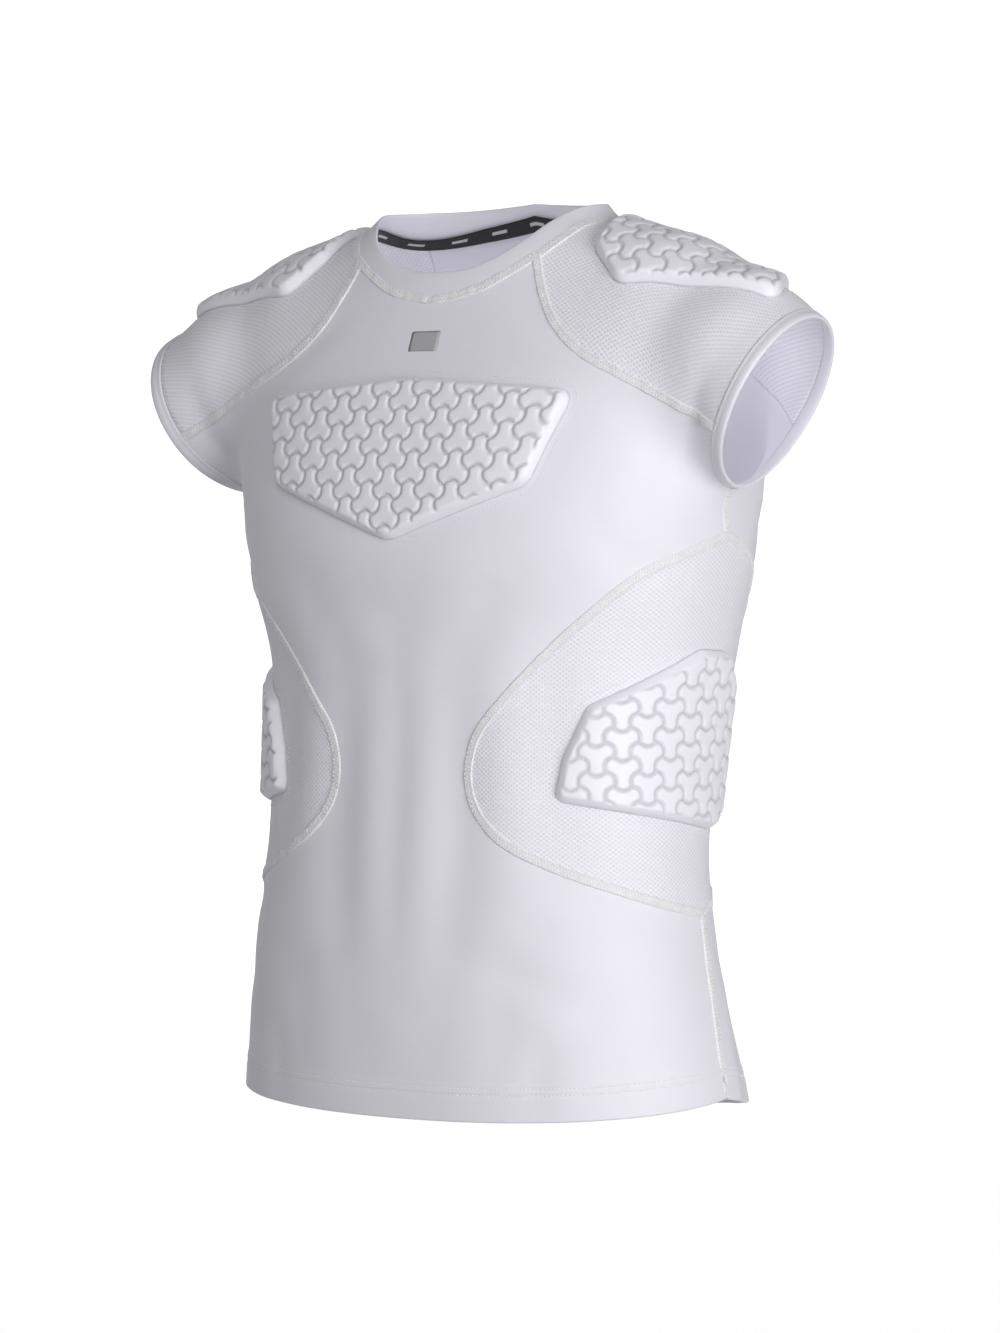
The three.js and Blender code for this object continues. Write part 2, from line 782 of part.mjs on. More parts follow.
// A padded shield on the form: a plain underside, a sloping rim and raised tiles between grooves.
function pad(corners, chart, swell, side) {
  const base = roundedOutline(corners);
  const field = shrunk(base, PAD_BEVEL);
  const widened = (p) => {
    let best = null;
    field.forEach((a, i) => {
      const k = (i + 1) % field.length;
      const line = field[k].clone().sub(a);
      const t = THREE.MathUtils.clamp(p.clone().sub(a).dot(line) / line.lengthSq(), 0, 1);
      const gap = p.distanceTo(a.clone().addScaledVector(line, t));
      if (best === null || gap < best.gap) best = { gap, point: base[i].clone().lerp(base[k], t) };
    });
    return best;
  };
  const places = new Map();
  const placed = (p, height) => {
    const key = `${p.x.toFixed(3)},${p.y.toFixed(3)}`;
    if (!places.has(key)) places.set(key, chart(p.x, p.y));
    const { p: point, n } = places.get(key);
    const lifted = point.clone().addScaledVector(n, height);
    return side === LEFT ? lifted : lifted.setX(-lifted.x);
  };
  const faces = new Faces();
  const polygons = [];
  // The underside needs no lobes, so their tips are drawn in to a corner of the tile.
  const merged = new Map();
  const under = (p) => {
    const wide = widened(p);
    return placed(wide.gap < ON_OUTLINE ? wide.point : merged.get(nameOf(p)) ?? p, PAD_CLEARANCE);
  };
  for (const middle of tileMiddles(field)) {
    const shape = tile(middle, swell);
    shape.forEach((tip, i) => {
      if (i % 2 === 0) return;
      const ends = [shape[i - 1], shape[(i + 1) % shape.length]];
      ends.sort((a, b) => (Math.abs(a.x - b.x) > 1 ? a.x - b.x : a.y - b.y));
      if (isInside(tip, field) && isInside(ends[0], field)) merged.set(nameOf(tip), ends[0]);
    });
    if (shape.every((p) => isInside(p, field))) {
      const edge = shape.map((p) => placed(p, PAD_GROOVE));
      const tips = [1, 3, 5, 7, 9, 11].map((i) => middle.clone().lerp(shape[i], TILE_SHRINK));
      const top = tips.map((p) => placed(p, PAD_TOP));
      for (let i = 0; i < 6; i += 1) {
        const k = (i + 1) % 6;
        faces.triangle(edge[2 * i], edge[2 * i + 1], top[i]);
        faces.quad(edge[2 * i + 1], edge[(2 * i + 2) % 12], top[k], top[i]);
        faces.triangle(under(shape[2 * k]), under(shape[2 * i]), under(middle));
      }
      for (const [a, b, c] of THREE.ShapeUtils.triangulateShape(tips, [])) {
        faces.triangle(top[a], top[b], top[c]);
      }
      polygons.push(shape);
    } else {
      shape.forEach((a, i) => {
        const wedge = clipped([middle, a, shape[(i + 1) % shape.length]], field);
        if (wedge.length < 3 || THREE.ShapeUtils.area(wedge) < 1e-3) return;
        const high = (p) => p === middle || widened(p).gap < ON_OUTLINE;
        const top = wedge.map((p) => placed(p, high(p) ? PAD_RIM : PAD_GROOVE));
        for (let k = 2; k < wedge.length; k += 1) {
          faces.triangle(top[0], top[k - 1], top[k]);
          faces.triangle(under(wedge[k]), under(wedge[k - 1]), under(wedge[0]));
        }
        polygons.push(wedge);
      });
    }
  }
  for (const [a, b] of rimSegments(polygons)) {
    const [wideA, wideB] = [widened(a).point, widened(b).point];
    const [midA, midB] = [placed(wideA, PAD_EDGE), placed(wideB, PAD_EDGE)];
    faces.quad(placed(wideA, PAD_CLEARANCE), placed(wideB, PAD_CLEARANCE), midB, midA);
    faces.quad(midA, midB, placed(b, PAD_RIM), placed(a, PAD_RIM));
  }
  return faces.geometry();
}

function chestChart(u, v) {
  return outward(vec(u, 0, v), vec(0, -1, 0));
}

function ribChart(u, v) {
  return around(SIDE_ANGLE + THREE.MathUtils.radToDeg(u / RIB_RADIUS), v);
}

function shoulderChart(u, v) {
  const axis = along(ARM, 'x', u);
  const turn = v / SHOULDER_RADIUS;
  return outward(vec(u, axis.y, axis.z), vec(0, Math.sin(turn), Math.cos(turn)));
}

// Assembly

const cloth = (color, roughness) => new THREE.MeshStandardMaterial({ color, roughness, metalness: 0 });
const shirt = new THREE.Group();

function piece(name, geometry, material) {
  const mesh = new THREE.Mesh(geometry, material);
  mesh.name = name;
  shirt.add(mesh);
}

const plain = cloth(WHITE_CLOTH, 0.6);
const netting = cloth(WHITE_MESH, 0.8);
const padding = cloth(WHITE_PAD, 0.55);

piece('front_panel', frontPanel(), plain);
piece('back_panel', backPanel(), plain);
piece('collar', collar(), plain);
piece('neck_tape', neckTape(), cloth(BLACK_TAPE, 0.7));
piece('chest_pad', pad(CHEST_PAD, chestChart, TWO_DOWN, LEFT), padding);
for (const [name, side] of [['left', LEFT], ['right', RIGHT]]) {
  piece(`shoulder_panel_${name}`, shoulderPanel(side), netting);
  piece(`side_panel_${name}`, sidePanel(side), netting);
  piece(`cuff_${name}`, cuff(side), plain);
  piece(`shoulder_pad_${name}`, pad(SHOULDER_PAD, shoulderChart, TWO_UP, side), padding);
  piece(`rib_pad_${name}`, pad(RIB_PAD, ribChart, TWO_UP, side), padding);
}

export default shirt;
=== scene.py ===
"""Finishes a padded compression shirt: cloth, mesh, moulded foam pads, flat seams, stitching and stage."""

import bpy
import numpy as np
from bpy.props import FloatProperty, FloatVectorProperty, PointerProperty
from bpy.types import Operator, Panel, PropertyGroup
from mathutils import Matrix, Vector
from mathutils.kdtree import KDTree


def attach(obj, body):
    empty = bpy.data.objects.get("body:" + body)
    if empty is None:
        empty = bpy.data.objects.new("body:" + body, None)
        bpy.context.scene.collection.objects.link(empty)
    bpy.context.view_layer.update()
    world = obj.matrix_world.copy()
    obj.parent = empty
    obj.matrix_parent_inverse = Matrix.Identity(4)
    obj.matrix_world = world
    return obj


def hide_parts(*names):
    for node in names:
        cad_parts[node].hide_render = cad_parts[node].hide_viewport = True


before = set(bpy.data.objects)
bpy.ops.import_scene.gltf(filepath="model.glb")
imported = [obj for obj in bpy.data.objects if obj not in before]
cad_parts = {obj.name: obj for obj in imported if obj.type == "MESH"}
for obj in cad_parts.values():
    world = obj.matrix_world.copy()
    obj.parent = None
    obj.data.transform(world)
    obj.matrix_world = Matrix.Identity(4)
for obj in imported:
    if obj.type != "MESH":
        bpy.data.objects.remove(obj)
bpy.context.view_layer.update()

bl_info = {
    "name": "Padded Compression Shirt",
    "version": (1, 0, 0),
    "blender": (4, 5, 0),
    "location": "3D View > Sidebar > Shirt",
    "description": "Builds the cloth, pads, seams and stitching of a padded compression shirt",
    "category": "Add Mesh",
}

# The form is worked out in millimetres and the meshes are made in metres.
MM = 0.001
LEFT = 1
RIGHT = -1
SIDES = (("left", LEFT), ("right", RIGHT))

# Level sections of the body: height, half the width, depth in front and behind, squareness.
BODY = np.array([
    (-670, 200, 122, 126, 2.3),
    (-630, 197, 122, 124, 2.3),
    (-560, 187, 124, 110, 2.3),
    (-500, 178, 123, 101, 2.3),
    (-447, 171, 120, 104, 2.3),
    (-394, 171, 117, 117, 2.3),
    (-316, 177, 115, 137, 2.3),
    (-242, 194, 127, 142, 2.3),
    (-190, 198, 121, 139, 2.6),
    (-150, 200, 109, 130, 2.8),
    (-112, 200, 95, 118, 2.7),
    (-84, 199, 83, 108, 2.5),
    (-56, 194, 73, 96, 2.2),
    (-38, 179, 68, 87, 2.0),
    (-24, 158, 63, 78, 2.0),
    (-12, 130, 58, 69, 2.0),
    (0, 105, 53, 61, 2.0),
    (12, 92, 48, 56, 2.0),
    (30, 84, 46, 54, 2.0),
], float)

# Points on the middle line of the shoulder and upper arm, with the radius round each.
ARM = np.array([
    (60, 5, -75, 46),
    (150, 3, -84, 60),
    (213, -3, -110, 63),
    (255, -9, -136, 61),
    (310, -14, -174, 57),
], float)
ARM_BLEND = 12.0
SHOULDER_BLEND = 34.0

# Seams and edges: angle from the front middle towards the wearer's left, and height.
COLLAR_SEAM = np.array([
    (0, -57), (27, -50), (41, -40), (54, -27), (74, -5), (90, 0), (115, -6), (145, 0), (180, 6),
], float)
COLLAR_TOP = np.array([
    (0, -37), (20, -35), (37, -27), (50, -16), (64, -2), (80, 9), (100, 13), (130, 15), (180, 19),
], float)
RAGLAN_FRONT = np.array([
    (86, -48), (101, -73), (127, -96), (165, -116), (204, -136),
], float)
RAGLAN_BACK = np.array([
    (94, -16), (106, -45), (130, -77), (165, -106), (204, -130),
], float)
RAGLAN_FRONT_ANGLE = 54.0
RAGLAN_BACK_ANGLE = 115.0
# Step along the curve, angle and height.
SIDE_CURVE = np.array([
    (0, 92, -223), (1, 79, -237), (2, 68, -254), (3, 57, -285), (4, 47, -314), (5, 37, -342),
    (6, 30, -363), (7, 27, -388), (8, 29, -412), (9, 37, -435), (10, 50, -453), (11, 65, -469),
    (12, 78, -481), (13, 92, -490),
], float)
SIDE_ANGLE = 92.0
BACK_CURVE_REACH = 0.8
HEM_SIDE_Z = -618.0

# Height of a panel's rows at its edge and at its middle line.
FRONT_MIDDLE = np.array([
    (-640, -654), (-618, -632), (-490, -498), (-388, -390), (-223, -232), (-161, -176),
    (-110, -138), (-73, -108), (-48, -83), (-27, -57),
], float)
BACK_MIDDLE = np.array([
    (-640, -662), (-618, -640), (-490, -500), (-388, -390), (-223, -226), (-150, -158),
    (-100, -106), (-45, -54), (-16, -14), (-6, 6),
], float)

# The armhole is a slanting oval round its middle point.
ARMHOLE_MIDDLE = np.array((241.0, -8.0, -142.0))
ARMHOLE_UP = np.array((0.45, 0.0, 0.893)) / np.hypot(0.45, 0.893)
ARMHOLE_FRONT = np.array((0.1, -1.0, 0.0)) / np.hypot(0.1, 1.0)
ARMHOLE_OUT = np.cross(ARMHOLE_UP, ARMHOLE_FRONT)
ARMHOLE_REACH = 96.0
CUFF_WIDTH = 9.5
CUFF_FRONT_ANGLE = -14.0
CUFF_BACK_ANGLE = 189.0
CUFF_LOW_ANGLE = 265.0

# Cloth
CLOTH = 1.3
HEM_CLOTH = 2.2
HEM_HEIGHT = 23.5
HEM_STITCHES = (17.0, 21.5)
BAND_OUT = 0.6
BAND_IN = 1.7
SEAM_GAP = 0.1
TAPE_START = 66.0
TAPE_ABOVE_SEAM = 5.5
TAPE_BELOW_SEAM = 6.0
TAPE_DEPTH = 2.6
TAPE = 0.9

# Pads: corners in each pad's own two directions, and the radius that rounds each.
CHEST_PAD = np.array([
    (0, -112, 60), (132, -123, 12), (108, -189, 16), (0, -228, 22), (-108, -189, 16),
    (-132, -123, 12),
], float)
RIB_PAD = np.array([
    (-119, -408, 8), (-112, -378, 10), (-94, -342, 10), (-8, -303, 14), (26, -305, 14),
    (44, -330, 14), (44, -419, 14), (22, -432, 14),
], float)
SHOULDER_PAD = np.array([
    (107, 0, 30), (116, -46, 16), (145, -71, 14), (258, -14, 14), (238, 24, 14), (140, 74, 14),
    (116, 48, 16),
], float)
RIB_RADIUS = 168.0
SHOULDER_RADIUS = 66.0
PAD_BEVEL = 6.0
TILE_PITCH = 20.4
TILE_LOBE = 3.1
# Directions in which a tile swells, in degrees.
TWO_UP = (30, 150, 270)
TWO_DOWN = (90, 210, 330)

# Creases on the wearer's left or right, as three points on the form, with width and depth.
CREASES = np.array([
    # The underarm, front and back
    (196, -62, -236, 188, -84, -205, 196, -72, -172, 10, 2.0),
    (190, -40, -262, 178, -86, -240, 160, -108, -214, 12, 1.6),
    (196, 66, -232, 186, 92, -205, 192, 84, -172, 11, 2.0),
    # Beside the cuff, on the panel
    (222, -62, -112, 212, -68, -150, 202, -58, -190, 7, 1.4),
    # The waist
    (120, -100, -470, 150, -70, -486, 170, -20, -500, 10, 1.3),
    (60, -118, -520, 110, -104, -536, 150, -70, -560, 12, 1.2),
    (166, 0, -530, 150, -72, -548, 118, -104, -580, 11, 1.0),
    (170, 30, -520, 150, 70, -540, 110, 96, -552, 12, 1.2),
    (90, 100, -470, 40, 104, -480, 0, 104, -476, 13, 1.1),
    # Rising from the hem at the side of the back
    (186, 40, -640, 180, 46, -590, 172, 52, -540, 9, 2.2),
    (160, 80, -646, 154, 82, -604, 148, 82, -570, 9, 1.4),
    (110, -104, -640, 112, -104, -600, 116, -100, -566, 10, 0.9),
    # From the neck towards the armhole
    (70, -66, -62, 110, -70, -92, 150, -72, -112, 9, 0.8),
    (60, 84, -40, 100, 96, -90, 150, 100, -130, 14, 1.2),
    # The small of the back
    (60, 130, -330, 20, 130, -350, -40, 128, -352, 14, 1.0),
    # Long soft hollows down the front and across under the chest
    (44, -118, -320, 52, -120, -430, 42, -122, -570, 22, 3.0),
    (0, -120, -300, 1, -122, -400, 0, -124, -540, 15, 1.3),
    (-96, -108, -262, 0, -122, -280, 96, -108, -262, 20, 1.4),
    (118, -90, -300, 112, -92, -380, 120, -92, -450, 20, 2.4),
    (88, -108, -250, 70, -116, -290, 40, -122, -318, 18, 1.4),
    (96, -106, -500, 84, -112, -550, 98, -110, -610, 20, 1.6),
    # Long soft hollows down the back
    (70, 120, -120, 64, 130, -250, 74, 112, -400, 26, 1.8),
    (0, 120, -80, 1, 138, -260, 0, 110, -440, 15, 0.9),
], float)


# ---- The form

def curve(rows, at):
    """Values of every later column at places of the first, on a smooth curve through the rows."""
    key, values = rows[:, 0], rows[:, 1:]
    at = np.clip(at, key[0], key[-1])
    i = np.clip(np.searchsorted(key, at, side="right") - 1, 0, len(key) - 2)
    slope = np.empty_like(values)
    slope[1:-1] = (values[2:] - values[:-2]) / (key[2:] - key[:-2])[:, None]
    slope[0] = (values[1] - values[0]) / (key[1] - key[0])
    slope[-1] = (values[-1] - values[-2]) / (key[-1] - key[-2])
    span = key[i + 1] - key[i]
    t = ((at - key[i]) / span)[..., None]
    span = span[..., None]
    leave = (t ** 3 - 2 * t ** 2 + t) * span * slope[i]
    arrive = (t ** 3 - t ** 2) * span * slope[i + 1]
    return (2 * t ** 3 - 3 * t ** 2 + 1) * values[i] + (3 * t ** 2 - 2 * t ** 3) * values[i + 1] \
        + leave + arrive


def blend(a, b, reach):
    near = np.maximum(reach - np.abs(a - b), 0) / reach
    return np.minimum(a, b) - near * near * reach / 4


def body_distance(p):
    half, front, back, square = np.moveaxis(curve(BODY, p[..., 2]), -1, 0)
    x = np.abs(p[..., 0])
    y = p[..., 1] - (back - front) / 2
    depth = (back + front) / 2
    ratio = ((x / half) ** square + (np.abs(y) / depth) ** square) ** (1 / square)
    return np.hypot(x, y) * (1 - 1 / np.maximum(ratio, 1e-6))


def arm_distance(p):
    q = np.concatenate([np.abs(p[..., :1]), p[..., 1:]], -1)
    nearest = None
    for low, high in zip(ARM[:-1], ARM[1:]):
        bone = high[:3] - low[:3]
        t = np.clip((q - low[:3]) @ bone / (bone @ bone), 0, 1)
        gap = np.linalg.norm(q - low[:3] - t[..., None] * bone, axis=-1)
        gap -= low[3] + t * (high[3] - low[3])
        nearest = gap if nearest is None else blend(nearest, gap, ARM_BLEND)
    return nearest


def distance(p):
    return blend(body_distance(p), arm_distance(p), SHOULDER_BLEND)


def slope_at(p):
    steps = np.eye(3) * 0.5
    return np.stack([distance(p + step) - distance(p - step) for step in steps], -1)


def unit(v):
    return v / np.maximum(np.linalg.norm(v, axis=-1, keepdims=True), 1e-9)


def normal_at(p):
    return unit(slope_at(p))


def settle(p, times=7):
    """Moves guessed points straight onto the form."""
    for _ in range(times):
        slope = slope_at(p)
        p = p - slope * (distance(p) / np.sum(slope ** 2, -1))[..., None]
    return p


def outward(origin, direction, reach=420.0, step=4.0):
    """Follows rays from inside the form to the first place where each comes out."""
    origin, direction = np.broadcast_arrays(origin, direction)
    start = origin.reshape(-1, 3)
    way = direction.reshape(-1, 3)
    far = np.full(len(start), step)
    active = np.arange(len(start))
    while len(active):
        gap = distance(start[active] + way[active] * far[active, None])
        active = active[(gap <= 0) & (far[active] < reach)]
        far[active] += step
    near = far - step
    for _ in range(16):
        middle = (near + far) / 2
        inside = distance(start + way * middle[:, None]) <= 0
        near = np.where(inside, middle, near)
        far = np.where(inside, far, middle)
    return (start + way * far[:, None]).reshape(origin.shape)


def vectors(x, y, z):
    return np.stack(np.broadcast_arrays(*(np.asarray(v, float) for v in (x, y, z))), -1)


def around(angle, z):
    turn = np.radians(angle)
    return outward(vectors(0, 0, z), vectors(np.sin(turn), -np.cos(turn), 0 * turn))


def sided(p, side):
    return p * np.array((side, 1, 1))


def relief(p):
    """How far the cloth stands off the form where creases run, on both sides of the body."""
    total = np.zeros(p.shape[:-1])
    for row in CREASES:
        for side in (LEFT, RIGHT):
            points = sided(row[:9].reshape(3, 3), side)
            width, depth = row[9:]
            gap = np.full(p.shape[:-1], 1e9)
            place = np.zeros(p.shape[:-1])
            for k, (a, b) in enumerate(zip(points[:-1], points[1:])):
                line = b - a
                t = np.clip((p - a) @ line / (line @ line), 0, 1)
                near = np.linalg.norm(p - a - t[..., None] * line, axis=-1)
                place = np.where(near < gap, (k + t) / 2, place)
                gap = np.minimum(gap, near)
            shape = (gap / width) ** 2
            hollow = np.exp(-shape) - 0.35 * np.exp(-((gap - 2 * width) / width) ** 2)
            total -= depth * hollow * np.sin(np.pi * np.clip(place, 0.04, 0.96)) ** 0.6 \
                * (0.8 if side == RIGHT else 1.0)
    return total


def settle_creases():
    """Puts the crease points on the form once."""
    CREASES[:, :9] = settle(CREASES[:, :9].reshape(-1, 3)).reshape(-1, 9)


# ---- Seam lines on the wearer's left

def part_steps(count):
    return np.linspace(0, 1, count + 1)


def collar_place(rows, angle):
    folded = np.abs((np.asarray(angle, float) + 180) % 360 - 180)
    return around(angle, curve(rows, folded)[..., 0])


def armhole_edge(angle):
    turn = np.radians(np.asarray(angle, float))[..., None]
    return outward(ARMHOLE_MIDDLE, ARMHOLE_FRONT * np.cos(turn) + ARMHOLE_UP * np.sin(turn),
                   ARMHOLE_REACH)


def cuff_place(angle, width=CUFF_WIDTH):
    """Places that lie a width in from the armhole's edge, measured on the cloth."""
    edge = armhole_edge(angle)
    normal = normal_at(edge)
    inward = unit(ARMHOLE_OUT - normal * (normal @ ARMHOLE_OUT)[..., None])
    return settle(edge - inward * width)


def smooth_path(points, count):
    """Evenly spaced places on a centripetal curve through points."""
    points = np.concatenate([[2 * points[0] - points[1]], points, [2 * points[-1] - points[-2]]])
    dense = []
    for p0, p1, p2, p3 in zip(points, points[1:], points[2:], points[3:]):
        before, span, after = (np.linalg.norm(b - a) ** 0.5
                               for a, b in ((p0, p1), (p1, p2), (p2, p3)))
        leave = ((p1 - p0) / before - (p2 - p0) / (before + span) + (p2 - p1) / span) * span
        arrive = ((p2 - p1) / span - (p3 - p1) / (span + after) + (p3 - p2) / after) * span
        t = np.linspace(0, 1, 40, endpoint=False)[:, None]
        dense.append((2 * t ** 3 - 3 * t ** 2 + 1) * p1 + (t ** 3 - 2 * t ** 2 + t) * leave
                     + (3 * t ** 2 - 2 * t ** 3) * p2 + (t ** 3 - t ** 2) * arrive)
    return evenly(np.concatenate(dense + [points[-2:-1]]), count)


def lengths(path):
    return np.concatenate([[0], np.cumsum(np.linalg.norm(np.diff(path, axis=0), axis=1))])


def evenly(path, count):
    run = lengths(path)
    at = np.linspace(0, run[-1], count + 1)
    return np.stack([np.interp(at, run, path[:, k]) for k in range(3)], -1)


def raglan(rows, face, collar_angle, cuff_angle, count):
    start = collar_place(COLLAR_SEAM, np.array([collar_angle]))
    end = cuff_place(np.array([cuff_angle]))
    between = outward(vectors(rows[:, 0], 0, rows[:, 1]), np.array((0.0, face, 0.0)))
    places = settle(smooth_path(np.concatenate([start, between, end]), count))
    places[0], places[-1] = start[0], end[0]
    return places


def front_raglan(count):
    return raglan(RAGLAN_FRONT, -1.0, RAGLAN_FRONT_ANGLE, CUFF_FRONT_ANGLE, count)


def back_raglan(count):
    return raglan(RAGLAN_BACK, 1.0, RAGLAN_BACK_ANGLE, CUFF_BACK_ANGLE, count)


def side_curve(reach, count):
    angle, z = curve(SIDE_CURVE, part_steps(count) * (len(SIDE_CURVE) - 1)).T
    return around(SIDE_ANGLE + reach * (SIDE_ANGLE - angle), z)


def side_seam(count):
    top = SIDE_CURVE[-1, 2]
    return around(np.full(count + 1, SIDE_ANGLE), top + part_steps(count) * (HEM_SIDE_Z - top))


def panel_edge(raglan_line, cuff_angle, curve_line):
    """The edge of the front or back panel, from the collar down to the hem."""
    low = CUFF_LOW_ANGLE - (360 if cuff_angle < CUFF_LOW_ANGLE - 180 else 0)
    cuff = cuff_place(cuff_angle + part_steps(16) * (low - cuff_angle))
    join = settle(cuff[-1] + part_steps(4)[:, None] * (curve_line[0] - cuff[-1]))
    heights = np.concatenate([np.linspace(curve_line[-1, 2], HEM_SIDE_Z + 28, 24)[1:],
                              np.linspace(HEM_SIDE_Z + 28, HEM_SIDE_Z, 24)[1:]])
    side = around(np.full(len(heights), SIDE_ANGLE), heights)
    return np.concatenate([raglan_line, cuff[1:], join[1:-1], curve_line, side])


def across_rows(edge, middles, face, count):
    """Rows of places from the right edge of a panel to its left edge."""
    middle = outward(vectors(0, 0, curve(middles, edge[:, 2])[:, 0]), np.array((0.0, face, 0.0)))
    reach = np.arctan2(edge[:, 0], face * edge[:, 1])[:, None]
    turn = (2 * part_steps(count) - 1) * reach
    rise = ((1 - np.cos(turn)) / (1 - np.cos(reach)))[..., None]
    guess = middle[:, None] * (1 - rise) + edge[:, None] * rise
    guess[..., 0] = edge[:, None, 0] * np.sin(turn) / np.sin(reach)
    return guess


def faded(sheet, row, target, count):
    """Draws the rows near one end of a sheet to a target row."""
    order = range(count) if row == 0 else range(-1, -count - 1, -1)
    shift = target - sheet[row]
    for k, i in enumerate(order):
        t = k / count
        sheet[i] += shift * (1 - t) ** 2 * (1 + 2 * t)
    return sheet


def trim_sides(sheet, gap):
    """Draws the two long edges of a sheet in by half of a seam's gap."""
    for column, inside in ((0, 1), (-1, -2)):
        inwards = sheet[:, inside] - sheet[:, column]
        sheet[:, column] += np.clip(np.linalg.norm(inwards, axis=1, keepdims=True), 0, gap / 2) \
            * unit(inwards)
    return sheet


# ---- Charts of the cloth, in millimetres

def front_chart(p):
    return np.stack([RIB_RADIUS * np.arctan2(p[..., 0], -p[..., 1]), p[..., 2]], -1)


def back_chart(p):
    return np.stack([RIB_RADIUS * np.arctan2(p[..., 0], p[..., 1]), p[..., 2]], -1)


def shoulder_chart(p):
    axis = curve(ARM, np.abs(p[..., 0]))
    turn = np.arctan2(p[..., 1] - axis[..., 0], p[..., 2] - axis[..., 1])
    return np.stack([p[..., 0], SHOULDER_RADIUS * turn], -1)


# ---- Meshes

class Cloth:
    """Gathers grids of points into one closed mesh."""

    def __init__(self):
        self.points, self.uvs, self.quads, self.marks = [], [], [], []
        self.count = 0

    def grid(self, points, uv, turned=False, mark=None):
        rows, columns = points.shape[:2]
        index = self.count + np.arange(rows * columns).reshape(rows, columns)
        quads = np.stack([index[:-1, :-1], index[1:, :-1], index[1:, 1:], index[:-1, 1:]], -1)
        quads = quads.reshape(-1, 4)
        self.quads.append(quads[:, ::-1] if turned else quads)
        self.points.append(points.reshape(-1, 3))
        self.uvs.append(uv.reshape(-1, 2))
        self.marks.append((np.zeros((rows, columns)) if mark is None else mark).reshape(-1))
        self.count += rows * columns

    def finish(self, name, material, side=LEFT):
        points = sided(np.concatenate(self.points), side)
        uvs = np.concatenate(self.uvs) * MM
        marks = np.concatenate(self.marks)
        quads = np.concatenate(self.quads)
        _, first, same = np.unique(np.round(points, 3), axis=0, return_index=True,
                                   return_inverse=True)
        same = same.reshape(-1)
        a, b, c, d = (points[quads[:, k]] for k in range(4))
        volume = np.sum(a * np.cross(b, c)) + np.sum(a * np.cross(c, d))
        if volume < 0:
            quads = quads[:, ::-1]
        faces, loops = [], []
        for joined, corners in zip(same[quads].tolist(), quads.tolist()):
            kept = [k for k in range(4) if joined[k] != joined[k - 1]]
            if len(kept) > 2 and len({joined[k] for k in kept}) == len(kept):
                faces.append([joined[k] for k in kept])
                loops.extend(corners[k] for k in kept)
        mesh = bpy.data.meshes.new(name)
        mesh.from_pydata((points[first] * MM).tolist(), [], faces)
        layer = mesh.uv_layers.new(name="weave")
        layer.data.foreach_set("uv", uvs[loops].ravel())
        if marks.any():
            groove = mesh.attributes.new("groove", "FLOAT", "POINT")
            groove.data.foreach_set("value", marks[first])
        return new_object(name, mesh, material)


def new_object(name, mesh, material):
    mesh.shade_smooth()
    mesh.materials.clear()
    mesh.materials.append(material)
    piece = bpy.data.objects.new(name, mesh)
    bpy.context.scene.collection.objects.link(piece)
    return piece


def ended(points):
    """Repeats the first column of a ring after its last."""
    return np.concatenate([points, points[:, :1]], axis=1)


def shell(cloth, sheet, outer, inner, uv, hem=False):
    """A closed wall between two offsets of a sheet of places."""
    normal = normal_at(sheet)
    drape = relief(sheet)
    out = sheet + normal * (outer + drape)[..., None]
    inn = sheet + normal * (inner + drape)[..., None]
    cloth.grid(out, uv)
    cloth.grid(inn, uv, turned=True)
    cloth.grid(np.stack([inn[0], out[0]]), np.stack([uv[0], uv[0]]))
    if hem:
        down = unit(out[-1] - out[-2])
        thick = np.linalg.norm(out[-1] - inn[-1], axis=-1, keepdims=True)
        rows = [out[-1]]
        for turn in np.radians((30, 60, 90, 120, 150)):
            level = (1 - np.cos(turn)) / 2
            rows.append(out[-1] * (1 - level) + inn[-1] * level
                        + down * np.sin(turn) * thick * 0.42)
        rows.append(inn[-1])
        rows = np.stack(rows)
        cloth.grid(rows, np.broadcast_to(uv[-1], rows.shape[:-1] + (2,)))
    else:
        cloth.grid(np.stack([out[-1], inn[-1]]), np.stack([uv[-1], uv[-1]]))
    cloth.grid(np.stack([inn[:, 0], out[:, 0]], 1), np.stack([uv[:, 0], uv[:, 0]], 1))
    cloth.grid(np.stack([out[:, -1], inn[:, -1]], 1), np.stack([uv[:, -1], uv[:, -1]], 1))


def band(low, high, profile):
    """A ring between two seam lines whose section follows a profile of height and offset."""
    height = np.array([row[0] for row in profile])[:, None, None]
    offset = np.array([row[1] for row in profile])[:, None, None]
    middle = low + (high - low) * height
    level = settle(low + (high - low) * np.clip(height, 0, 1))
    middle = level + (middle - low - (high - low) * np.clip(height, 0, 1))
    points = middle + normal_at(level) * (offset + relief(level)[..., None])
    run = lengths(np.concatenate([low, low[:1]]))
    rise = np.cumsum([0] + [np.hypot(20 * (b[0] - a[0]), b[1] - a[1])
                            for a, b in zip(profile, profile[1:])])
    uv = np.stack(np.broadcast_arrays(run[None], rise[:, None]), -1)
    cloth = Cloth()
    cloth.grid(ended(points), uv)
    return cloth


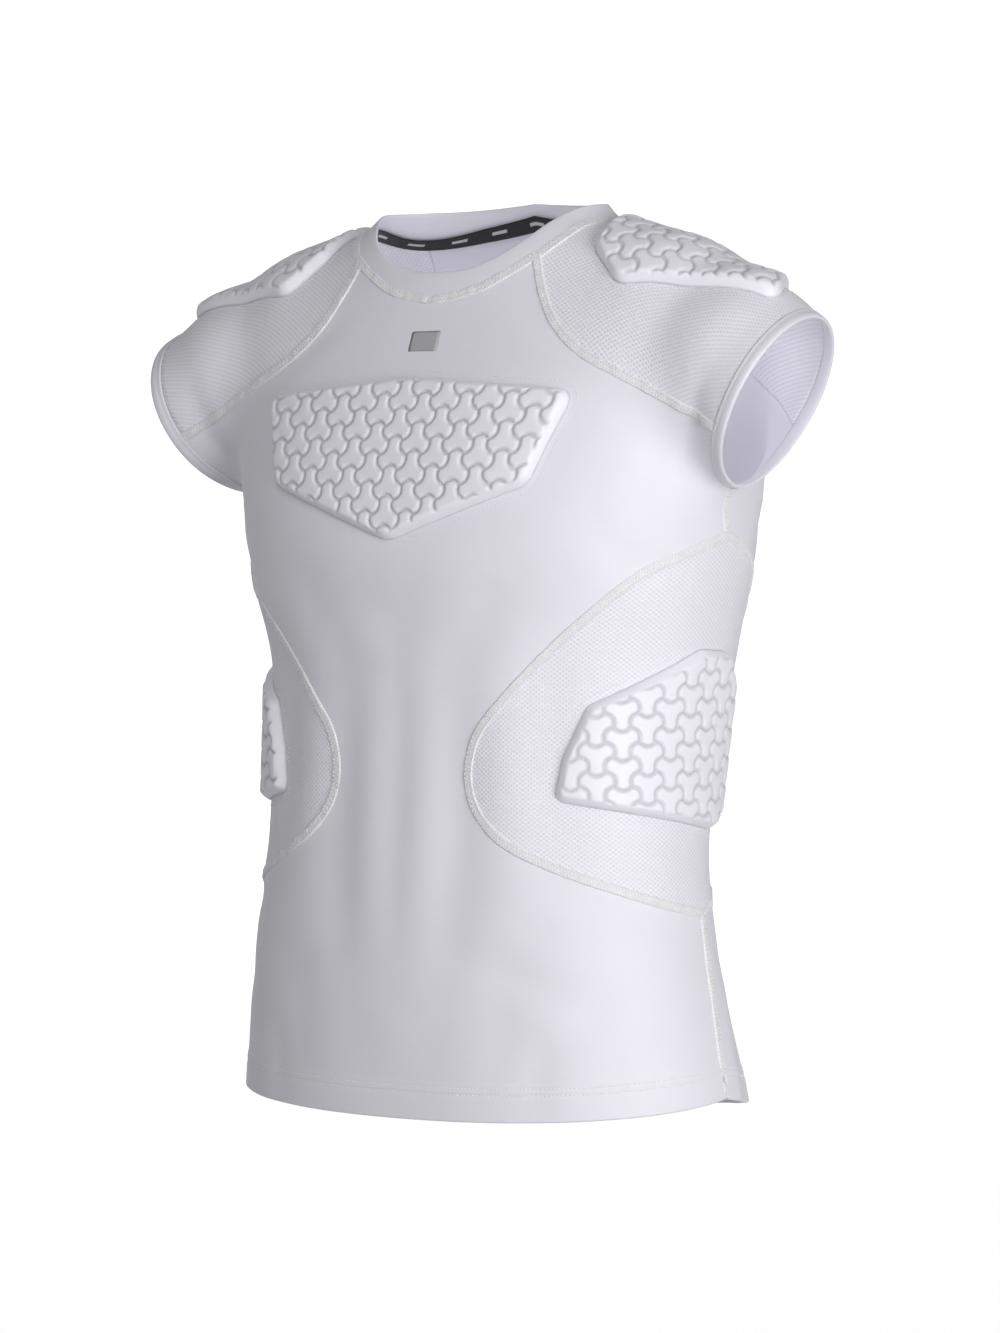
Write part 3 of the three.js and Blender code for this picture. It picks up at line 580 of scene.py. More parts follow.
COLLAR_PROFILE = [
    (0.0, -0.9), (0.0, 0.25), (0.03, 0.5), (0.12, BAND_OUT), (0.3, BAND_OUT + 0.1),
    (0.5, BAND_OUT + 0.15), (0.7, BAND_OUT + 0.1), (0.9, BAND_OUT), (0.97, 0.35), (1.0, 0.0),
    (1.015, -0.55), (1.0, -1.1), (0.97, -1.45), (0.88, -BAND_IN), (0.5, -BAND_IN),
    (0.12, -BAND_IN), (0.0, -1.5), (0.0, -0.9),
]
CUFF_PROFILE = [
    (0.0, -0.9), (-0.02, 0.3), (0.03, 0.75), (0.1, 0.95), (0.22, 0.85), (0.3, 0.72), (0.4, 0.95),
    (0.6, 1.15), (0.8, 1.1), (0.92, 0.85), (1.0, 0.3), (1.03, -0.4), (1.0, -1.1), (0.9, -BAND_IN),
    (0.5, -BAND_IN), (0.12, -BAND_IN), (0.0, -1.5), (0.0, -0.9),
]


# ---- Nodes

class Maths:
    """A number in a node tree that adds Math nodes when it is used in an expression."""

    def __init__(self, graph, socket):
        self.graph = graph
        self.socket = socket

    def apply(self, operation, *others, swapped=False):
        terms = [*others, self] if swapped else [self, *others]
        node = self.graph.node("ShaderNodeMath", {"operation": operation}, dict(enumerate(terms)))
        return Maths(self.graph, node.outputs[0])

    def __add__(self, other):
        return self.apply("ADD", other)

    __radd__ = __add__

    def __mul__(self, other):
        return self.apply("MULTIPLY", other)

    __rmul__ = __mul__

    def __sub__(self, other):
        return self.apply("SUBTRACT", other)

    def __rsub__(self, other):
        return self.apply("SUBTRACT", other, swapped=True)

    def __truediv__(self, other):
        return self.apply("DIVIDE", other)

    def __rtruediv__(self, other):
        return self.apply("DIVIDE", other, swapped=True)

    def __pow__(self, other):
        return self.apply("POWER", other)

    def size(self):
        return self.apply("ABSOLUTE")

    def sine(self):
        return self.apply("SINE")

    def remainder(self, other):
        return self.apply("FLOORED_MODULO", other)

    def at_least(self, other):
        return self.apply("MAXIMUM", other)

    def smooth(self, low, high):
        node = self.graph.node(
            "ShaderNodeMapRange", {"interpolation_type": "SMOOTHSTEP"},
            {"Value": self, "From Min": low, "From Max": high})
        return Maths(self.graph, node.outputs[0])


class Graph:
    """Adds nodes to one tree and wires them."""

    def __init__(self, tree):
        self.tree = tree

    def node(self, kind, settings=None, values=None):
        node = self.tree.nodes.new(kind)
        for key, value in (settings or {}).items():
            setattr(node, key, value)
        for key, value in (values or {}).items():
            self.feed(node.inputs[key], value)
        return node

    def feed(self, socket, value):
        if isinstance(value, Maths):
            value = value.socket
        if isinstance(value, bpy.types.NodeSocket):
            self.tree.links.new(value, socket)
        else:
            socket.default_value = value

    def weave(self):
        """The two directions of the cloth, in metres."""
        place = self.node("ShaderNodeUVMap", {"uv_map": "weave"})
        split = self.node("ShaderNodeSeparateXYZ", values={0: place.outputs[0]})
        return Maths(self, split.outputs[0]), Maths(self, split.outputs[1])

    def noise(self, scale, detail=2.0, roughness=0.5):
        place = self.node("ShaderNodeTexCoord")
        noise = self.node("ShaderNodeTexNoise", values={
            "Vector": place.outputs["Object"], "Scale": scale, "Detail": detail,
            "Roughness": roughness})
        return Maths(self, noise.outputs[0])

    def mixed(self, factor, first, second):
        mix = self.node("ShaderNodeMix", {"data_type": "RGBA"},
                        {0: factor, 6: first, 7: second})
        return mix.outputs[2]

    def bump(self, height, depth, strength=1.0, under=None):
        values = {"Height": height, "Distance": depth, "Strength": strength}
        if under is not None:
            values["Normal"] = under
        return self.node("ShaderNodeBump", values=values).outputs[0]


def rgba(colour, share=1.0):
    return (*(part * share for part in colour), 1.0)


def finish_material(name, constants, build):
    """A Principled material whose changing sockets come from build."""
    material = bpy.data.materials.new(name)
    material.use_nodes = True
    material.node_tree.nodes.clear()
    graph = Graph(material.node_tree)
    shader = graph.node("ShaderNodeBsdfPrincipled", values=constants)
    for key, value in build(graph).items():
        graph.feed(shader.inputs[key], value)
    graph.node("ShaderNodeOutputMaterial", values={"Surface": shader.outputs[0]})
    return material


TURN = 2 * np.pi


def knit(graph, wale, course):
    """Height of a fine plain knit, from 0 to 1, with a wale and a course in metres."""
    u, v = graph.weave()
    legs = ((u / wale * TURN).sine() * 0.8 + v / course * TURN).sine() * 0.5 + 0.5
    return legs * ((u / wale * TURN).sine() * 0.25 + 0.75)


def cloth_material(settings):
    def build(graph):
        yarn = knit(graph, 0.0011, 0.0008)
        cloudy = graph.noise(16.0, 3.0)
        fuzz = graph.noise(900.0, 2.0)
        # The tone varies at random with the cloudy and fuzz noise, and is darker in the knit's valleys as
        # painted shade.
        tone = (cloudy - 0.5) * 0.10 + yarn * 0.16 + fuzz * 0.10 + 0.80
        colour = graph.mixed(tone, rgba(settings.cloth_colour, 0.72), rgba(settings.cloth_colour))
        return {
            "Base Color": colour,
            "Roughness": 0.50 + (1 - yarn) * 0.16 + cloudy * 0.06,
            "Normal": graph.bump(yarn + fuzz * 0.5, 0.00012, 0.5),
        }
    return finish_material("stretch_knit", {"Sheen Weight": 0.25, "Sheen Roughness": 0.4}, build)


MESH_SQUASH = 0.72


def mesh_material(settings):
    def build(graph):
        u, v = graph.weave()
        pitch = settings.mesh_pitch
        slanting = u / pitch * np.pi
        rising = v / (pitch * MESH_SQUASH) * np.pi
        hole = ((slanting + rising).sine() * (slanting - rising).sine()).size().smooth(0.25, 0.85)
        yarn = knit(graph, 0.0009, 0.0007)
        cloudy = graph.noise(14.0, 3.0)
        # The openings are darkened as painted shade, and the cloudy noise varies the tone at random.
        tone = 1.0 - hole * 0.5 - yarn * 0.08 + (cloudy - 0.5) * 0.10
        colour = graph.mixed(tone, rgba(settings.mesh_colour, 0.74), rgba(settings.mesh_colour))
        return {
            "Base Color": colour,
            "Roughness": 0.66 + hole * 0.2,
            "Normal": graph.bump(1 - hole + yarn * 0.2, 0.00035, 0.6),
        }
    return finish_material("mesh_knit", {"Sheen Weight": 0.15, "Sheen Roughness": 0.5}, build)


def pad_material(settings):
    def build(graph):
        u, v = graph.weave()
        groove = Maths(graph, graph.node(
            "ShaderNodeAttribute", {"attribute_name": "groove"}).outputs["Fac"])
        dots = ((u + v) / 0.0016 * TURN).sine() * ((u - v) / 0.0016 * TURN).sine()
        dots = dots.smooth(0.1, 0.7)
        yarn = knit(graph, 0.0010, 0.0008)
        cloudy = graph.noise(22.0, 3.0)
        # The grooves, and the dots within them, are darkened as painted shade.
        tone = 1.0 - groove * (0.35 + dots * 0.45) - yarn * 0.06 + (cloudy - 0.5) * 0.08
        colour = graph.mixed(tone, rgba(settings.pad_colour, 0.50), rgba(settings.pad_colour))
        under = graph.bump(dots * groove, -0.0003, 0.7)
        return {
            "Base Color": colour,
            "Roughness": 0.46 + groove * 0.25 + yarn * 0.08,
            "Normal": graph.bump(yarn, 0.0001, 0.4, under),
        }
    return finish_material("moulded_pad_cover", {"Sheen Weight": 0.2, "Sheen Roughness": 0.35},
                           build)


def thread_material(settings):
    def build(graph):
        strands = (graph.noise(700.0, 1.0) * TURN * 2).sine() * 0.5 + 0.5
        colour = graph.mixed(strands, rgba(settings.thread_colour, 0.82),
                             rgba(settings.thread_colour))
        return {
            "Base Color": colour,
            "Roughness": 0.42 + strands * 0.15,
            "Normal": graph.bump(strands, 0.00008, 0.5),
        }
    return finish_material("sewing_thread", {"Sheen Weight": 0.2}, build)


def seam_material(settings):
    def build(graph):
        u, v = graph.weave()
        zigzag = ((u / 0.0024).remainder(1.0) - 0.5).size() * 2 - v / 0.0045
        thread = 1 - (zigzag.remainder(1.0) - 0.5).size().smooth(0.12, 0.4)
        wear = graph.noise(40.0, 2.0)
        colour = graph.mixed(thread * 0.6 + wear * 0.3, rgba(settings.thread_colour, 0.76),
                             rgba(settings.thread_colour))
        return {
            "Base Color": colour,
            "Roughness": 0.5 + (1 - thread) * 0.2,
            "Normal": graph.bump(thread, 0.0003, 0.6),
        }
    return finish_material("flat_seam", {"Sheen Weight": 0.15}, build)


def tape_material(settings):
    def build(graph):
        u, v = graph.weave()
        ribs = (u / 0.0009 * TURN).sine() * (v / 0.0012 * TURN).sine() * 0.5 + 0.5
        bar = ((u.remainder(0.034) - 0.017).size().smooth(0.0062, 0.0066))
        line = ((v - 0.0052).size().smooth(0.0011, 0.0014))
        mark = (1 - bar) * (1 - line)
        # The weave is lighter on its ribs and darker in the dents between them, as painted shade.
        base = graph.mixed(ribs, rgba(settings.tape_colour, 0.5), rgba(settings.tape_colour, 1.6))
        return {
            "Base Color": graph.mixed(mark * 0.85, base, rgba((0.62, 0.62, 0.64))),
            "Roughness": 0.58 + ribs * 0.2,
            "Normal": graph.bump(ribs, 0.0002, 0.7),
        }
    return finish_material("woven_tape", {"Sheen Weight": 0.1}, build)


def patch_material(settings):
    def build(graph):
        grain = graph.noise(1400.0, 2.0)
        return {
            "Base Color": graph.mixed(grain, rgba(settings.patch_colour, 0.85),
                                      rgba(settings.patch_colour, 1.1)),
            "Roughness": 0.38 + grain * 0.15,
            "Normal": graph.bump(grain, 0.00005, 0.4),
        }
    return finish_material("pressed_patch", {}, build)


def floor_material(settings):
    def build(graph):
        grain = graph.noise(6.0, 2.0)
        place = graph.node("ShaderNodeTexCoord")
        behind = graph.node("ShaderNodeVectorMath", {"operation": "DOT_PRODUCT"},
                            {0: place.outputs["Object"], 1: tuple(view_directions()[0])})
        far = Maths(graph, behind.outputs["Value"]).smooth(0.9, 1.4)
        return {
            "Base Color": graph.mixed(grain, rgba((0.70, 0.70, 0.70)), rgba((0.73, 0.73, 0.73))),
            "Roughness": 0.8 + grain * 0.05,
            "Emission Color": graph.mixed(far, rgba((0.0, 0.0, 0.0)), rgba((1.0, 1.0, 1.0))),
        }
    return finish_material("pale_floor", {"Specular IOR Level": 0.2, "Emission Strength": 0.74},
                           build)


def used(maker):
    """The material that a maker builds, built once."""
    known = bpy.data.materials.get(MATERIAL_NAMES[maker])
    return known or maker(bpy.context.scene.shirt)


MATERIAL_NAMES = {
    cloth_material: "stretch_knit",
    mesh_material: "mesh_knit",
    pad_material: "moulded_pad_cover",
    thread_material: "sewing_thread",
    seam_material: "flat_seam",
    tape_material: "woven_tape",
    patch_material: "pressed_patch",
    floor_material: "pale_floor",
}


# ---- Cloth panels

def front_sheet(rows=44, columns=104):
    edge = panel_edge(front_raglan(rows), CUFF_FRONT_ANGLE, side_curve(-1.0, 84))
    sheet = across_rows(edge, FRONT_MIDDLE, -1.0, columns)
    neck = collar_place(COLLAR_SEAM, (2 * part_steps(columns) - 1) * RAGLAN_FRONT_ANGLE)
    sheet = faded(sheet, 0, neck, 24)
    return trim_sides(settle(sheet), SEAM_GAP)


def back_sheet(rows=44, columns=104):
    edge = panel_edge(back_raglan(rows), CUFF_BACK_ANGLE, side_curve(BACK_CURVE_REACH, 84))
    sheet = across_rows(edge, BACK_MIDDLE, 1.0, columns)
    turns = 360 - RAGLAN_BACK_ANGLE + part_steps(columns) * (2 * RAGLAN_BACK_ANGLE - 360)
    sheet = faded(sheet, 0, collar_place(COLLAR_SEAM, turns), 24)
    return trim_sides(settle(sheet), SEAM_GAP)


def body_panel(name, sheet, chart):
    """A body panel whose cloth is doubled along the hem."""
    above = (sheet[:, 0, 2] - HEM_SIDE_Z)[:, None] + np.zeros(sheet.shape[:2])
    doubled = 1 / (1 + np.exp((above - HEM_HEIGHT) / 0.8))
    outer = 0.9 * doubled
    for rise in HEM_STITCHES:
        outer -= 0.55 * np.exp(-((above - rise) / 1.3) ** 2)
    inner = -CLOTH - (HEM_CLOTH - CLOTH) * doubled
    cloth = Cloth()
    shell(cloth, sheet, outer, inner, chart(sheet), hem=True)
    return cloth.finish(name, used(cloth_material))


def side_sheet(rows=84, columns=60):
    front, back = side_curve(-1.0, rows), side_curve(BACK_CURVE_REACH, rows)
    t = part_steps(columns)
    angles = [np.degrees(np.arctan2(edge[:, :1], -edge[:, 1:2])) for edge in (front, back)]
    angle = angles[0] + (angles[1] - angles[0]) * t
    z = front[:, 2:] + (back[:, 2:] - front[:, 2:]) * t
    sheet = around(angle, z)
    sheet[:, 0], sheet[:, -1] = front, back
    return trim_sides(sheet, SEAM_GAP)


def shoulder_sheet(rows=48, columns=84):
    front, back = front_raglan(rows), back_raglan(rows)
    t = part_steps(columns)
    neck = collar_place(COLLAR_SEAM, RAGLAN_FRONT_ANGLE
                        + t * (RAGLAN_BACK_ANGLE - RAGLAN_FRONT_ANGLE))
    cuff = cuff_place(CUFF_FRONT_ANGLE + t * (CUFF_BACK_ANGLE - CUFF_FRONT_ANGLE))
    half = columns // 2
    middle = (front + back) / 2
    crest = neck[half] + part_steps(rows)[:, None] * (cuff[half] - neck[half])
    crest = outward(vectors(crest[:, 0], crest[:, 1], ARMHOLE_MIDDLE[2]),
                    np.array((0.0, 0.0, 1.0)))
    turn = ((2 * t - 1) * np.pi / 2)[None, :, None]
    sheet = middle[:, None] + (back - middle)[:, None] * np.sin(turn) \
        + (crest - middle)[:, None] * np.cos(turn)
    sheet = faded(sheet, 0, neck, 18)
    sheet = faded(sheet, -1, cuff, 18)
    return trim_sides(settle(sheet), SEAM_GAP)


def plain_panel(name, sheet, chart, material, side):
    cloth = Cloth()
    flat = np.zeros(sheet.shape[:2])
    shell(cloth, sheet, flat, flat - CLOTH, chart(sheet))
    return cloth.finish(name, material, side)


def declare(piece, node):
    """Hangs a finished piece on the root body and hides the part that it stands for."""
    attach(piece, "root")
    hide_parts(node)


# ---- Pads

def rounded_outline(corners, step):
    points = []
    for i, (u, v, radius) in enumerate(corners):
        at = np.array((u, v))
        back = unit(corners[i - 1][:2] - at)
        ahead = unit(corners[(i + 1) % len(corners)][:2] - at)
        half = np.arccos(np.clip(back @ ahead, -1, 1)) / 2
        run = radius / np.tan(half)
        t = part_steps(max(1, int(np.ceil(2 * run / step))))[:, None]
        points.append((1 - t) ** 2 * (at + back * run) + 2 * t * (1 - t) * at
                      + t ** 2 * (at + ahead * run))
    points = np.concatenate(points)
    return points if signed_area(points) > 0 else points[::-1]


def signed_area(points):
    after = np.roll(points, -1, 0)
    return np.sum(points[:, 0] * after[:, 1] - points[:, 1] * after[:, 0]) / 2


def resampled(outline, step):
    closed = np.concatenate([outline, outline[:1]])
    run = lengths(closed)
    at = np.linspace(0, run[-1], int(run[-1] / step) + 1)[:-1]
    return np.stack([np.interp(at, run, closed[:, k]) for k in range(2)], -1)


def edge_gap(points, outline):
    """Distance of points from an outline that they lie inside."""
    gap = np.full(points.shape[:-1], 1e9)
    for a, b in zip(outline, np.roll(outline, -1, 0)):
        line = b - a
        t = np.clip((points - a) @ line / max(line @ line, 1e-9), 0, 1)
        gap = np.minimum(gap, np.linalg.norm(points - a - t[..., None] * line, axis=-1))
    return gap


def groove_lines(outline, swell):
    """Closely spaced points on the grooves between the tiles."""
    low, high = outline.min(0), outline.max(0)
    middle = (low + high) / 2
    column = TILE_PITCH * np.sqrt(3) / 2
    wide = int(np.ceil((high - low)[0] / column / 2)) + 1
    tall = int(np.ceil((high - low)[1] / TILE_PITCH / 2)) + 1
    half = TILE_PITCH / np.sqrt(3) / 2
    s = np.linspace(-half, half, 61)
    bulge = TILE_LOBE * (1 - (s / half) ** 2)
    lines = []
    for i in range(-wide, wide + 1):
        for j in range(-tall, tall + 1):
            rise = TILE_PITCH * (j + (0 if i % 2 == 0 else 0.5))
            tile = middle + np.array((column * i, rise))
            for angle in np.radians(swell):
                out = np.array((np.cos(angle), np.sin(angle)))
                along = np.array((-out[1], out[0]))
                lines.append(tile + out * (TILE_PITCH / 2 + bulge[:, None]) + along * s[:, None])
    return np.concatenate(lines)


def nearest_gap(points, lines):
    tree = KDTree(len(lines))
    for i, (u, v) in enumerate(lines.tolist()):
        tree.insert((u, v, 0.0), i)
    tree.balance()
    return np.array([tree.find((u, v, 0.0))[2] for u, v in points.reshape(-1, 2).tolist()]) \
        .reshape(points.shape[:-1])


def chest_place(u, v):
    return outward(vectors(u, 0, v), np.array((0.0, -1.0, 0.0)))


def rib_place(u, v):
    return around(SIDE_ANGLE + np.degrees(u / RIB_RADIUS), v)


def shoulder_place(u, v):
    axis = curve(ARM, u)
    turn = v / SHOULDER_RADIUS
    return outward(vectors(u, axis[..., 0], axis[..., 1]),
                   vectors(0 * turn, np.sin(turn), np.cos(turn)))


def eased(t):
    t = np.clip(t, 0, 1)
    return t * t * (3 - 2 * t)


def pad_heights(points, outline, swell, settings):
    """Height of a pad's cover over the cloth, and how deep in a groove each point lies."""
    gap = edge_gap(points, outline)
    tile = nearest_gap(points, groove_lines(outline, swell))
    top = settings.pad_height / MM
    edge = top * np.sin(np.pi / 2 * np.clip(gap / PAD_BEVEL, 0, 1)) ** 0.75
    inside = eased((gap - 2.2) / 4.0)
    half = settings.groove_width / MM / 2
    groove = np.exp(-(tile / half) ** 2) * inside
    crown = 0.25 * (1 - np.exp(-np.maximum(tile - half, 0) / 1.5)) * inside
    height = edge + crown - 0.25 - settings.groove_depth / MM * groove
    return np.maximum(height, 0.05), np.exp(-(tile / half / 1.25) ** 2) * inside


def build_pad(name, corners, place, swell, side, step):
    settings = bpy.context.scene.shirt
    base = rounded_outline(corners, 3.0)
    outline = resampled(base, step)
    centre = (outline.min(0) + outline.max(0)) / 2
    rings = int(np.linalg.norm(outline - centre, axis=1).max() / step)
    share = np.linspace(1, 0, rings + 1)[:, None, None]
    flat = centre + (outline - centre) * share
    height, groove = pad_heights(flat, base, swell, settings)
    form = place(flat[..., 0], flat[..., 1])
    normal = normal_at(form)
    drape = relief(form)
    top = form + normal * (height + drape)[..., None]
    cloth = Cloth()
    cloth.grid(ended(top), ended(flat), mark=ended(groove))
    below = np.linspace(0, rings, 13).astype(int)
    under = form[below] + normal[below] * (drape[below] + 0.04)[..., None]
    under[0] = top[0]
    cloth.grid(ended(under), ended(flat[below]), turned=True)
    return cloth.finish(name, used(pad_material), side)


# ---- Seams and stitching

FLAT_SEAM = [(-3.5, -0.3), (-3.25, 0.55), (-2.7, 1.05), (-1.6, 1.0), (0.0, 0.86), (1.6, 1.0),
             (2.7, 1.05), (3.25, 0.55), (3.5, -0.3)]
SEAM_TOP = 0.9


def pucker(run):
    """How a sewn seam rises and falls along its run."""
    return 0.34 * np.sin(run * 0.37) * np.sin(run * 0.113 + 1.0) + 0.14 * np.sin(run * 0.83 + 0.6)


def frames(path, closed=False):
    """Directions along, across and out of the form at each place of a path."""
    if closed:
        along = unit(np.roll(path, -1, 0) - np.roll(path, 1, 0))
    else:
        along = unit(np.gradient(path, axis=0))
    out = normal_at(path)
    return along, unit(np.cross(out, along)), out


def beside(path, offset, lift, closed=False):
    """A line on the form that runs beside a path, lifted with the creases."""
    _, across, _ = frames(path, closed)
    line = settle(path + across * offset)
    out = normal_at(line)
    wave = pucker(lengths(path)) * (1 if lift > 0 else 0)
    return line + out * (lift + wave + relief(line))[..., None], out


def flat_seam(cloth, path, side=LEFT, closed=False):
    rows = [beside(path, offset, lift, closed)[0] for offset, lift in FLAT_SEAM]
    points = np.stack(rows)
    run = np.broadcast_to(lengths(path), points.shape[:2])
    width = np.array([row[0] for row in FLAT_SEAM])[:, None] + np.zeros(len(path))
    uv = np.stack([run, width], -1)
    if closed:
        points, uv = ended(points), ended(uv)
        uv[:, -1, 0] = lengths(path)[-1] + 3.0
    cloth.grid(sided(points, side), uv, turned=side == LEFT)


def seam_paths():
    """The sewn seams of the wearer's left side, with whether each is a ring."""
    low_raglan, high_raglan = front_raglan(70), back_raglan(70)
    ring = cuff_place(np.linspace(0, 360, 120, endpoint=False))
    curves = [settle(evenly(side_curve(reach, 160), 130)) for reach in (-1.0, BACK_CURVE_REACH)]
    return [(low_raglan, False), (high_raglan, False), (curves[0], False), (curves[1], False),
            (evenly(side_seam(40), 44), False), (underarm_seam(), False)]


def underarm_seam():
    start = cuff_place(np.array([CUFF_LOW_ANGLE]))[0]
    end = around(np.array([SIDE_ANGLE]), SIDE_CURVE[:1, 2])[0]
    return settle(start + part_steps(14)[:, None] * (end - start))


def collar_ring(count=240):
    return collar_place(COLLAR_SEAM, np.linspace(0, 360, count, endpoint=False))


STITCH_TREE = "row_of_stitches"


def stitch_tree():
    """Geometry nodes that set one stitch at each pitch along the edges of a mesh."""
    tree = bpy.data.node_groups.new(STITCH_TREE, "GeometryNodeTree")
    inputs = (("Rows", "NodeSocketGeometry", None), ("Pitch", "NodeSocketFloat", 0.003),
              ("Length", "NodeSocketFloat", 0.002), ("Thickness", "NodeSocketFloat", 0.0006),
              ("Slant", "NodeSocketFloat", 0.0), ("Unevenness", "NodeSocketFloat", 0.08),
              ("Seed", "NodeSocketInt", 3), ("Thread", "NodeSocketMaterial", None))
    for name, kind, default in inputs:
        socket = tree.interface.new_socket(name, in_out="INPUT", socket_type=kind)
        if default is not None:
            socket.default_value = default
    tree.interface.new_socket("Stitches", in_out="OUTPUT", socket_type="NodeSocketGeometry")
    graph = Graph(tree)
    given = graph.node("NodeGroupInput").outputs
    lines = graph.node("GeometryNodeMeshToCurve", values={"Mesh": given["Rows"]})
    spaced = graph.node("GeometryNodeResampleCurve", {"mode": "LENGTH"},
                        {"Curve": lines.outputs[0], "Length": given["Pitch"]})
    out = graph.node("GeometryNodeInputNamedAttribute", {"data_type": "FLOAT_VECTOR"},
                     {"Name": "out"})
    tangent = graph.node("GeometryNodeInputTangent")
    turn = graph.node("FunctionNodeAxesToRotation", {"primary_axis": "Z", "secondary_axis": "X"},
                      {"Primary Axis": out.outputs[0], "Secondary Axis": tangent.outputs[0]})
    index = Maths(graph, graph.node("GeometryNodeInputIndex").outputs[0])
    sign = index.remainder(2.0) * 2 - 1
    jitter = graph.node("FunctionNodeRandomValue", {"data_type": "FLOAT"},
                        {2: -1.0, 3: 1.0, "Seed": given["Seed"]})
    uneven = Maths(graph, jitter.outputs[1]) * Maths(graph, given["Unevenness"])
    slant = sign * Maths(graph, given["Slant"]) + uneven
    lean = graph.node("ShaderNodeCombineXYZ", values={2: slant})
    euler = graph.node("FunctionNodeEulerToRotation", values={0: lean.outputs[0]})
    turned = graph.node("FunctionNodeRotateRotation", {"rotation_space": "LOCAL"},
                        {0: turn.outputs[0], 1: euler.outputs[0]})
    ball = graph.node("GeometryNodeMeshIcoSphere", values={"Radius": 0.5, "Subdivisions": 1})
    size = graph.node("ShaderNodeCombineXYZ", values={
        0: Maths(graph, given["Length"]) * (1 + uneven * 0.8), 1: given["Thickness"],
        2: Maths(graph, given["Thickness"]) * 0.8})
    stitches = graph.node("GeometryNodeInstanceOnPoints", values={
        "Points": spaced.outputs[0], "Instance": ball.outputs[0],
        "Rotation": turned.outputs[0], "Scale": size.outputs[0]})
    real = graph.node("GeometryNodeRealizeInstances", values={0: stitches.outputs[0]})
    smooth = graph.node("GeometryNodeSetShadeSmooth", values={0: real.outputs[0]})
    dyed = graph.node("GeometryNodeSetMaterial",
                      values={0: smooth.outputs[0], "Material": given["Thread"]})
    graph.node("NodeGroupOutput", values={0: dyed.outputs[0]})
    return tree


def stitch_rows(name, rows, pitch, length, thickness, slant=0.0, seed=3):
    """Stitches along rows of points, each given with its outward directions and if it is closed."""
    points, outs, edges = [], [], []
    for line, out, closed in rows:
        start = len(points)
        points.extend((line * MM).tolist())
        outs.extend(out.tolist())
        edges.extend((start + i, start + i + 1) for i in range(len(line) - 1))
        if closed:
            edges.append((start + len(line) - 1, start))
    mesh = bpy.data.meshes.new(name)
    mesh.from_pydata(points, edges, [])
    layer = mesh.attributes.new("out", "FLOAT_VECTOR", "POINT")
    layer.data.foreach_set("vector", np.array(outs).ravel())
    guide = bpy.data.objects.new(f"{name}_guide", mesh)
    bpy.context.scene.collection.objects.link(guide)
    tree = bpy.data.node_groups.get(STITCH_TREE) or stitch_tree()
    modifier = guide.modifiers.new("stitches", "NODES")
    modifier.node_group = tree
    values = {"Pitch": pitch, "Length": length, "Thickness": thickness, "Slant": slant,
              "Seed": seed, "Thread": used(thread_material)}
    for item in tree.interface.items_tree:
        if item.name in values:
            modifier[item.identifier] = values[item.name]
    evaluated = guide.evaluated_get(bpy.context.evaluated_depsgraph_get())
    made = bpy.data.meshes.new_from_object(evaluated)
    guide.modifiers.remove(modifier)
    bpy.data.objects.remove(guide)
    if not len(made.polygons):
        raise RuntimeError(f"{name} came out empty")
    piece = bpy.data.objects.new(name, made)
    made.name = name
    bpy.context.scene.collection.objects.link(piece)
    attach(piece, "root")
    return piece


def both_sides(line, out, closed=False):
    return [(sided(line, side), sided(out, side), closed) for side in (LEFT, RIGHT)]


def hem_line(rise, lift):
    """A ring that runs round the body, a height above the hem."""
    z = HEM_SIDE_Z + rise
    edge = around(np.array([SIDE_ANGLE]), np.array([z]))
    front = across_rows(edge, FRONT_MIDDLE, -1.0, 150)[0]
    back = across_rows(edge, BACK_MIDDLE, 1.0, 150)[0]
    line = settle(np.concatenate([front[:-1], back[::-1][:-1]]))
    out = normal_at(line)
    return line + out * (lift + relief(line))[..., None], out


def outline_line(corners, place, offset, lift):
    """A ring on the cloth a little outside a pad's outline."""
    outline = resampled(rounded_outline(corners, 3.0), 3.0)
    along = unit(np.roll(outline, -1, 0) - np.roll(outline, 1, 0))
    wider = outline + np.stack([along[:, 1], -along[:, 0]], -1) * offset
    line = place(wider[:, 0], wider[:, 1])
    out = normal_at(line)
    return line + out * (lift + relief(line))[..., None], out


PAD_STITCH_OFFSET = 4.6


# ---- Settings

